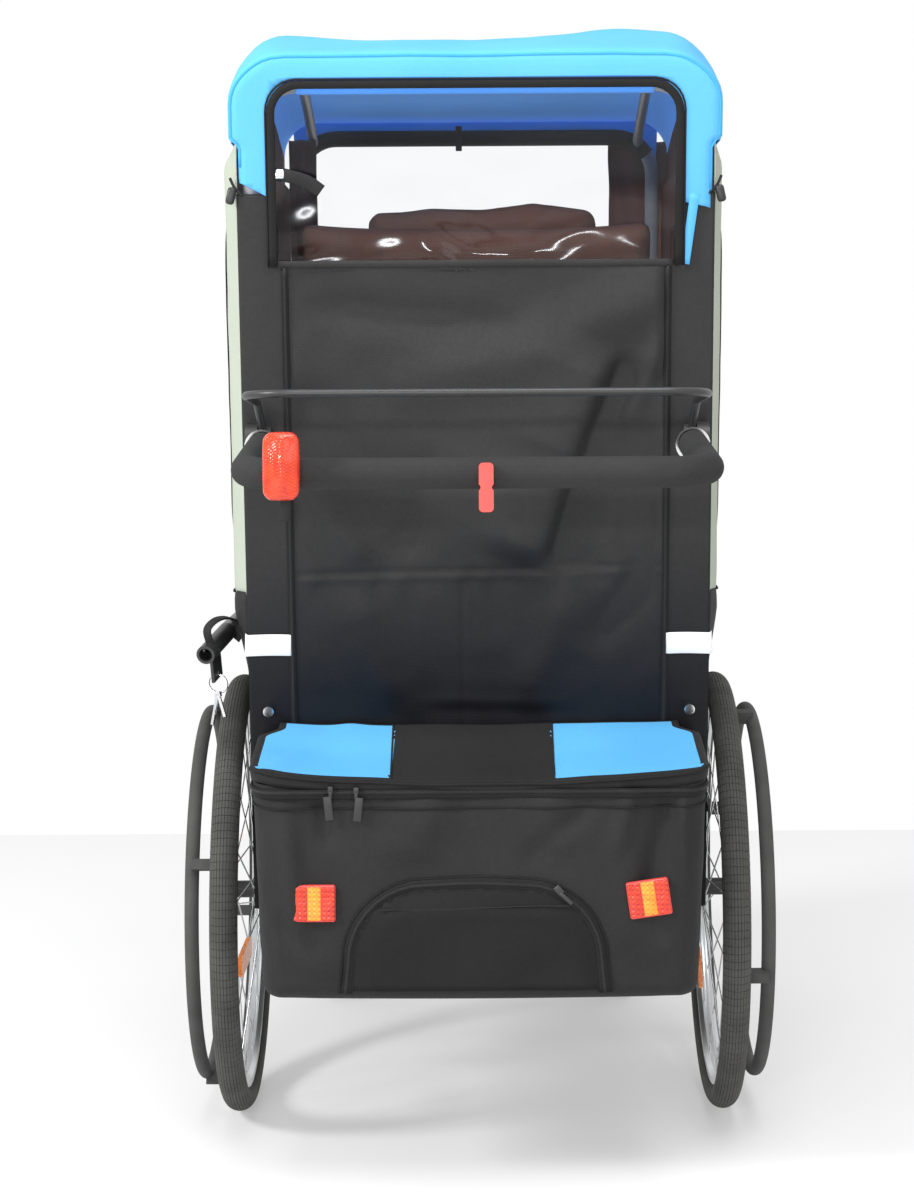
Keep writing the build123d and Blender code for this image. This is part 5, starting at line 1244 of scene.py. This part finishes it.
def make_lamp():
    """Glossy lamp of three upright lobes, strapped to the grip."""
    low, high = box_mm("rear_lamp")
    x, z = (low.x + high.x) / 2, (low.z + high.z) / 2
    size = Vector((high.x - low.x, 26.0, high.z - low.z))
    bm = block(size, Vector((0, 0, 0)), 9.0, segments=5)
    slice_grid(bm, 0, -18, 19, 2)
    slice_grid(bm, 2, -36, 37, 4)
    for vert in bm.verts:
        a, b = 2 * vert.co.x / size.x, 2 * vert.co.z / size.z
        vert.co.x *= 1 - 0.07 * abs(b) ** 3
        vert.co.z *= 1 - 0.05 * abs(a) ** 3
        if vert.co.y < 0:
            lobes, near_edge = 2.0 * math.cos(a * math.pi * 1.5) + 1.2 * math.cos(b * math.pi), max(abs(a), abs(b))
            vert.co.y += 3.0 * ease(0.3, 1.0, near_edge) - lobes * ease(1.0, 0.7, near_edge) + 1.2
        vert.co += Vector((x, low.y + 14.5, z))
    piece(bm, "lamp_shell", LAMP, "lamp_lens", ("rear_lamp",), body="handle", crease=60)
    grip = box_mm("handle_grip")[0] + Vector((0, GRIP_R, GRIP_R))
    turns = [2 * math.pi * k / 40 for k in range(40)]
    ring = [Vector((x, grip.y + 19.8 * math.cos(a), grip.z + 19.8 * math.sin(a))) for a in turns]
    band = strip(ring, 18.0, 2.0, lambda p: Vector((0, p.y - grip.y, p.z - grip.z)).normalized(), closed=True)
    piece(band, "lamp_band", STRAP, "black_metal", body="handle")
    foot = Vector((x, low.y, low.z))
    tail = smooth_path([foot + Vector(off) for off in ((4, 18, 4), (5, 20, -10), (2, 22, -24))])
    piece(strip(tail, 12.0, 2.0, BACK), "lamp_strap_tail", STRAP, "black_metal", body="handle")


def make_handle_trim():
    """Bright collars where the foam sleeve meets the handle's eyes."""
    low, high = box_mm("handle_knuckles")
    grip_low, grip_high = box_mm("handle_grip")
    pivot = Vector((0, (low.y + high.y) / 2, (low.z + high.z) / 2))
    along = (Vector((0, grip_low.y + GRIP_R, grip_low.z + GRIP_R)) - pivot).normalized()
    turn = along.to_track_quat("Z", "Y").to_matrix().to_4x4()
    for name, side in SIDES.items():
        bm = bmesh.new()
        start = Vector((side * (grip_high.x - GRIP_R), grip_high.y, grip_high.z - GRIP_R))
        for back, radius, depth in ((6.0, 22.0, 4.0), (11.0, 15.0, 6.0)):
            add_rod(bm, radius, depth, Matrix.Translation(start - along * back) @ turn, 32)
        piece(bm, f"handle_collar_{name}", CHROME, "chrome", body="handle", crease=40)


def make_tow_trim():
    """Carrying loop over the coupler, and the two hitch pins on its split ring."""
    low, high = box_mm("tow_coupler")
    ring_low, ring_high = box_mm("tow_ring")
    corner = Vector(((low.x + high.x) / 2, low.y, high.z))
    loop = smooth_path([corner + Vector(off) for off in ((-2, 18, -18), (-6, 14, 2), (6, 26, 14), (22, 52, 12),
                                                         (30, 74, -4), (24, 84, -18))])
    inside = corner + Vector((12, 46, -14))
    piece(strip(loop, 12.0, 2.2, lambda p: (p - inside).normalized()), "tow_loop", STRAP, body="tow")
    hang = Vector(((ring_low.x + ring_high.x) / 2, (ring_low.y + ring_high.y) / 2, ring_low.z + 1.5))
    for name, lean, length in (("short", -16.0, 30.0), ("long", 10.0, 40.0)):
        bm = bmesh.new()
        hung = Matrix.Translation(hang) @ Matrix.Rotation(math.radians(lean), 4, "Y")
        for offset, radius, depth in ((-length / 2 - 3, 2.6, length), (-2.0, 4.2, 7.0)):
            add_rod(bm, radius, depth, hung @ Matrix.Translation((0, 0, offset)), 14)
        piece(bm, f"hitch_pin_{name}", CHROME, "chrome", body="tow", crease=40)


def make_frame_trim():
    for name, side in SIDES.items():
        loop = [on_wall(side * 296, 1262, 2), on_wall(side * 306, 1272, 0), on_wall(side * 312, 1284, -3)]
        piece(cordlike(smooth_path(loop), 1.8), f"cover_cord_{name}", STRAP)
        bm = block((11, 12, 22), on_wall(side * 311, 1262, 0), 4, Matrix.Rotation(math.radians(-12 * side), 4, "Y"))
        piece(bm, f"cover_toggle_{name}", KNUCKLE)
    tab = [on_wall(-258, 1290, -4), on_wall(-238, 1287, 3), on_wall(-214, 1280, 5), on_wall(-196, 1268, 6)]
    piece(strip(smooth_path(tab, 6), 17.0, 2.2, WALL_OUT), "window_tab", STRAP)
    piece(block((16, 7, 13), on_wall(-250, 1289, 2), 3), "window_tab_snap", CHROME, "chrome")


def dress_frame():
    """Finishes for the frame's own parts."""
    finishes = {
        BLACK_METAL: ("hub_", "axle_", "caster_housing_", "caster_fork_", "side_rails", "cross_tubes", "seat_legs",
                      "handle_bar", "brake_bail", "tow_bracket", "tow_arm", "tow_coupler"),
        FRAME: ("rear_hoop", "front_hoop", "roof_rails"), CHROME: ("wall_knobs", "tow_ring"), ALLOY: ("rim_",),
        STEEL: ("spokes_",), RIM_RUBBER: ("hand_rim_",), AMBER: ("spoke_reflectors_",), FOAM: ("handle_grip",),
        CASTER_RUBBER: ("caster_tyre_",), CASTER_CORE: ("caster_core_",), KNUCKLE: ("handle_knuckles",),
        RED: ("brake_latch",), LAMP: ("rear_lamp",),
    }
    for name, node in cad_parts.items():
        for finish, starts in finishes.items():
            if name.startswith(starts):
                node.data.materials.clear()
                node.data.materials.append(finish.material)


# Stage
def make_stage():
    scene = bpy.context.scene
    scene.view_settings.view_transform = "Standard"
    bm = bmesh.new()
    bmesh.ops.create_grid(bm, x_segments=1, y_segments=1, size=1.0,
                          matrix=Matrix.Translation((0, -3.8, 0)) @ Matrix.Diagonal((9.0, 6.0, 1, 1)))
    mesh = bpy.data.meshes.new("floor")
    bm.to_mesh(mesh)
    bm.free()
    floor = bpy.data.objects.new("floor", mesh)
    scene.collection.objects.link(floor)
    paper = Finish("floor_paper", (0.63, 0.63, 0.63), 0.95, Specular_IOR_Level=0.0, Emission_Color=(1, 1, 1, 1),
                   Emission_Strength=0.36)
    paper.tint(paper.noise(2.0), (0.625, 0.625, 0.625), (0.64, 0.64, 0.64))
    mesh.materials.append(paper.material)
    world = bpy.data.worlds.new("studio")
    scene.world = world
    world.use_nodes = True
    tree = world.node_tree
    tree.nodes.clear()
    ray = tree.nodes.new("ShaderNodeLightPath")

    def seen(name):
        return Value(tree, ray.outputs[name])

    background = tree.nodes.new("ShaderNodeBackground")
    shown = (seen("Is Camera Ray") + seen("Is Glossy Ray") + seen("Is Transmission Ray")).clamp()
    tree.links.new((shown * 0.44 + 0.56).socket, background.inputs["Strength"])
    background.inputs["Color"].default_value = (1, 1, 1, 1)
    out = tree.nodes.new("ShaderNodeOutputWorld")
    tree.links.new(background.outputs[0], out.inputs[0])
    for name, place, aim, size, power in (
            ("key", (-3.3, -2.1, 2.7), (0, -0.3, 0.9), 0.9, 120.0), ("fill", (2.8, -3.6, 2.0), (0, 0, 0.8), 1.8, 14.0),
            ("top", (0.3, -2.0, 4.2), (0, -0.3, 0.6), 2.2, 95.0), ("spark", (-0.7, -4.6, 1.6), (0, 0, 1.2), 1.2, 52.0)):
        lamp = bpy.data.lights.new(name, "AREA")
        lamp.energy, lamp.size = power, size
        if name == "spark":
            lamp.shape, lamp.size_y = "RECTANGLE", 0.14
        light = bpy.data.objects.new(name, lamp)
        light.location = place
        light.rotation_mode = "QUATERNION"
        light.rotation_quaternion = (Vector(aim) - Vector(place)).to_track_quat("-Z", "Y")
        scene.collection.objects.link(light)
    lens = bpy.data.cameras.new("camera")
    lens.sensor_fit, lens.sensor_width, lens.lens = "AUTO", 36.0, 75.0
    lens.shift_x, lens.shift_y = -0.0167, -0.166
    camera = bpy.data.objects.new("camera", lens)
    camera.location = (0, -3.570 + SHIFT_Y / 1000, 1.0)
    camera.rotation_mode = "QUATERNION"
    level, roll = Matrix.Rotation(math.radians(90), 4, "X"), Matrix.Rotation(math.radians(-0.35), 4, "Z")
    camera.rotation_quaternion = (level @ roll).to_quaternion()
    scene.collection.objects.link(camera)
    scene.camera = camera


make_stage()
dress_frame()
make_rear_wall()
make_canopy()
make_window()
make_valance()
for side_name, side_sign in SIDES.items():
    make_side(side_name, side_sign)
    make_tyre(side_name, side_sign)
make_tub()
make_seat()
make_bag()
make_lid()
make_pocket()
make_bag_reflectors()
make_bands()
make_lamp()
make_handle_trim()
make_tow_trim()
make_frame_trim()
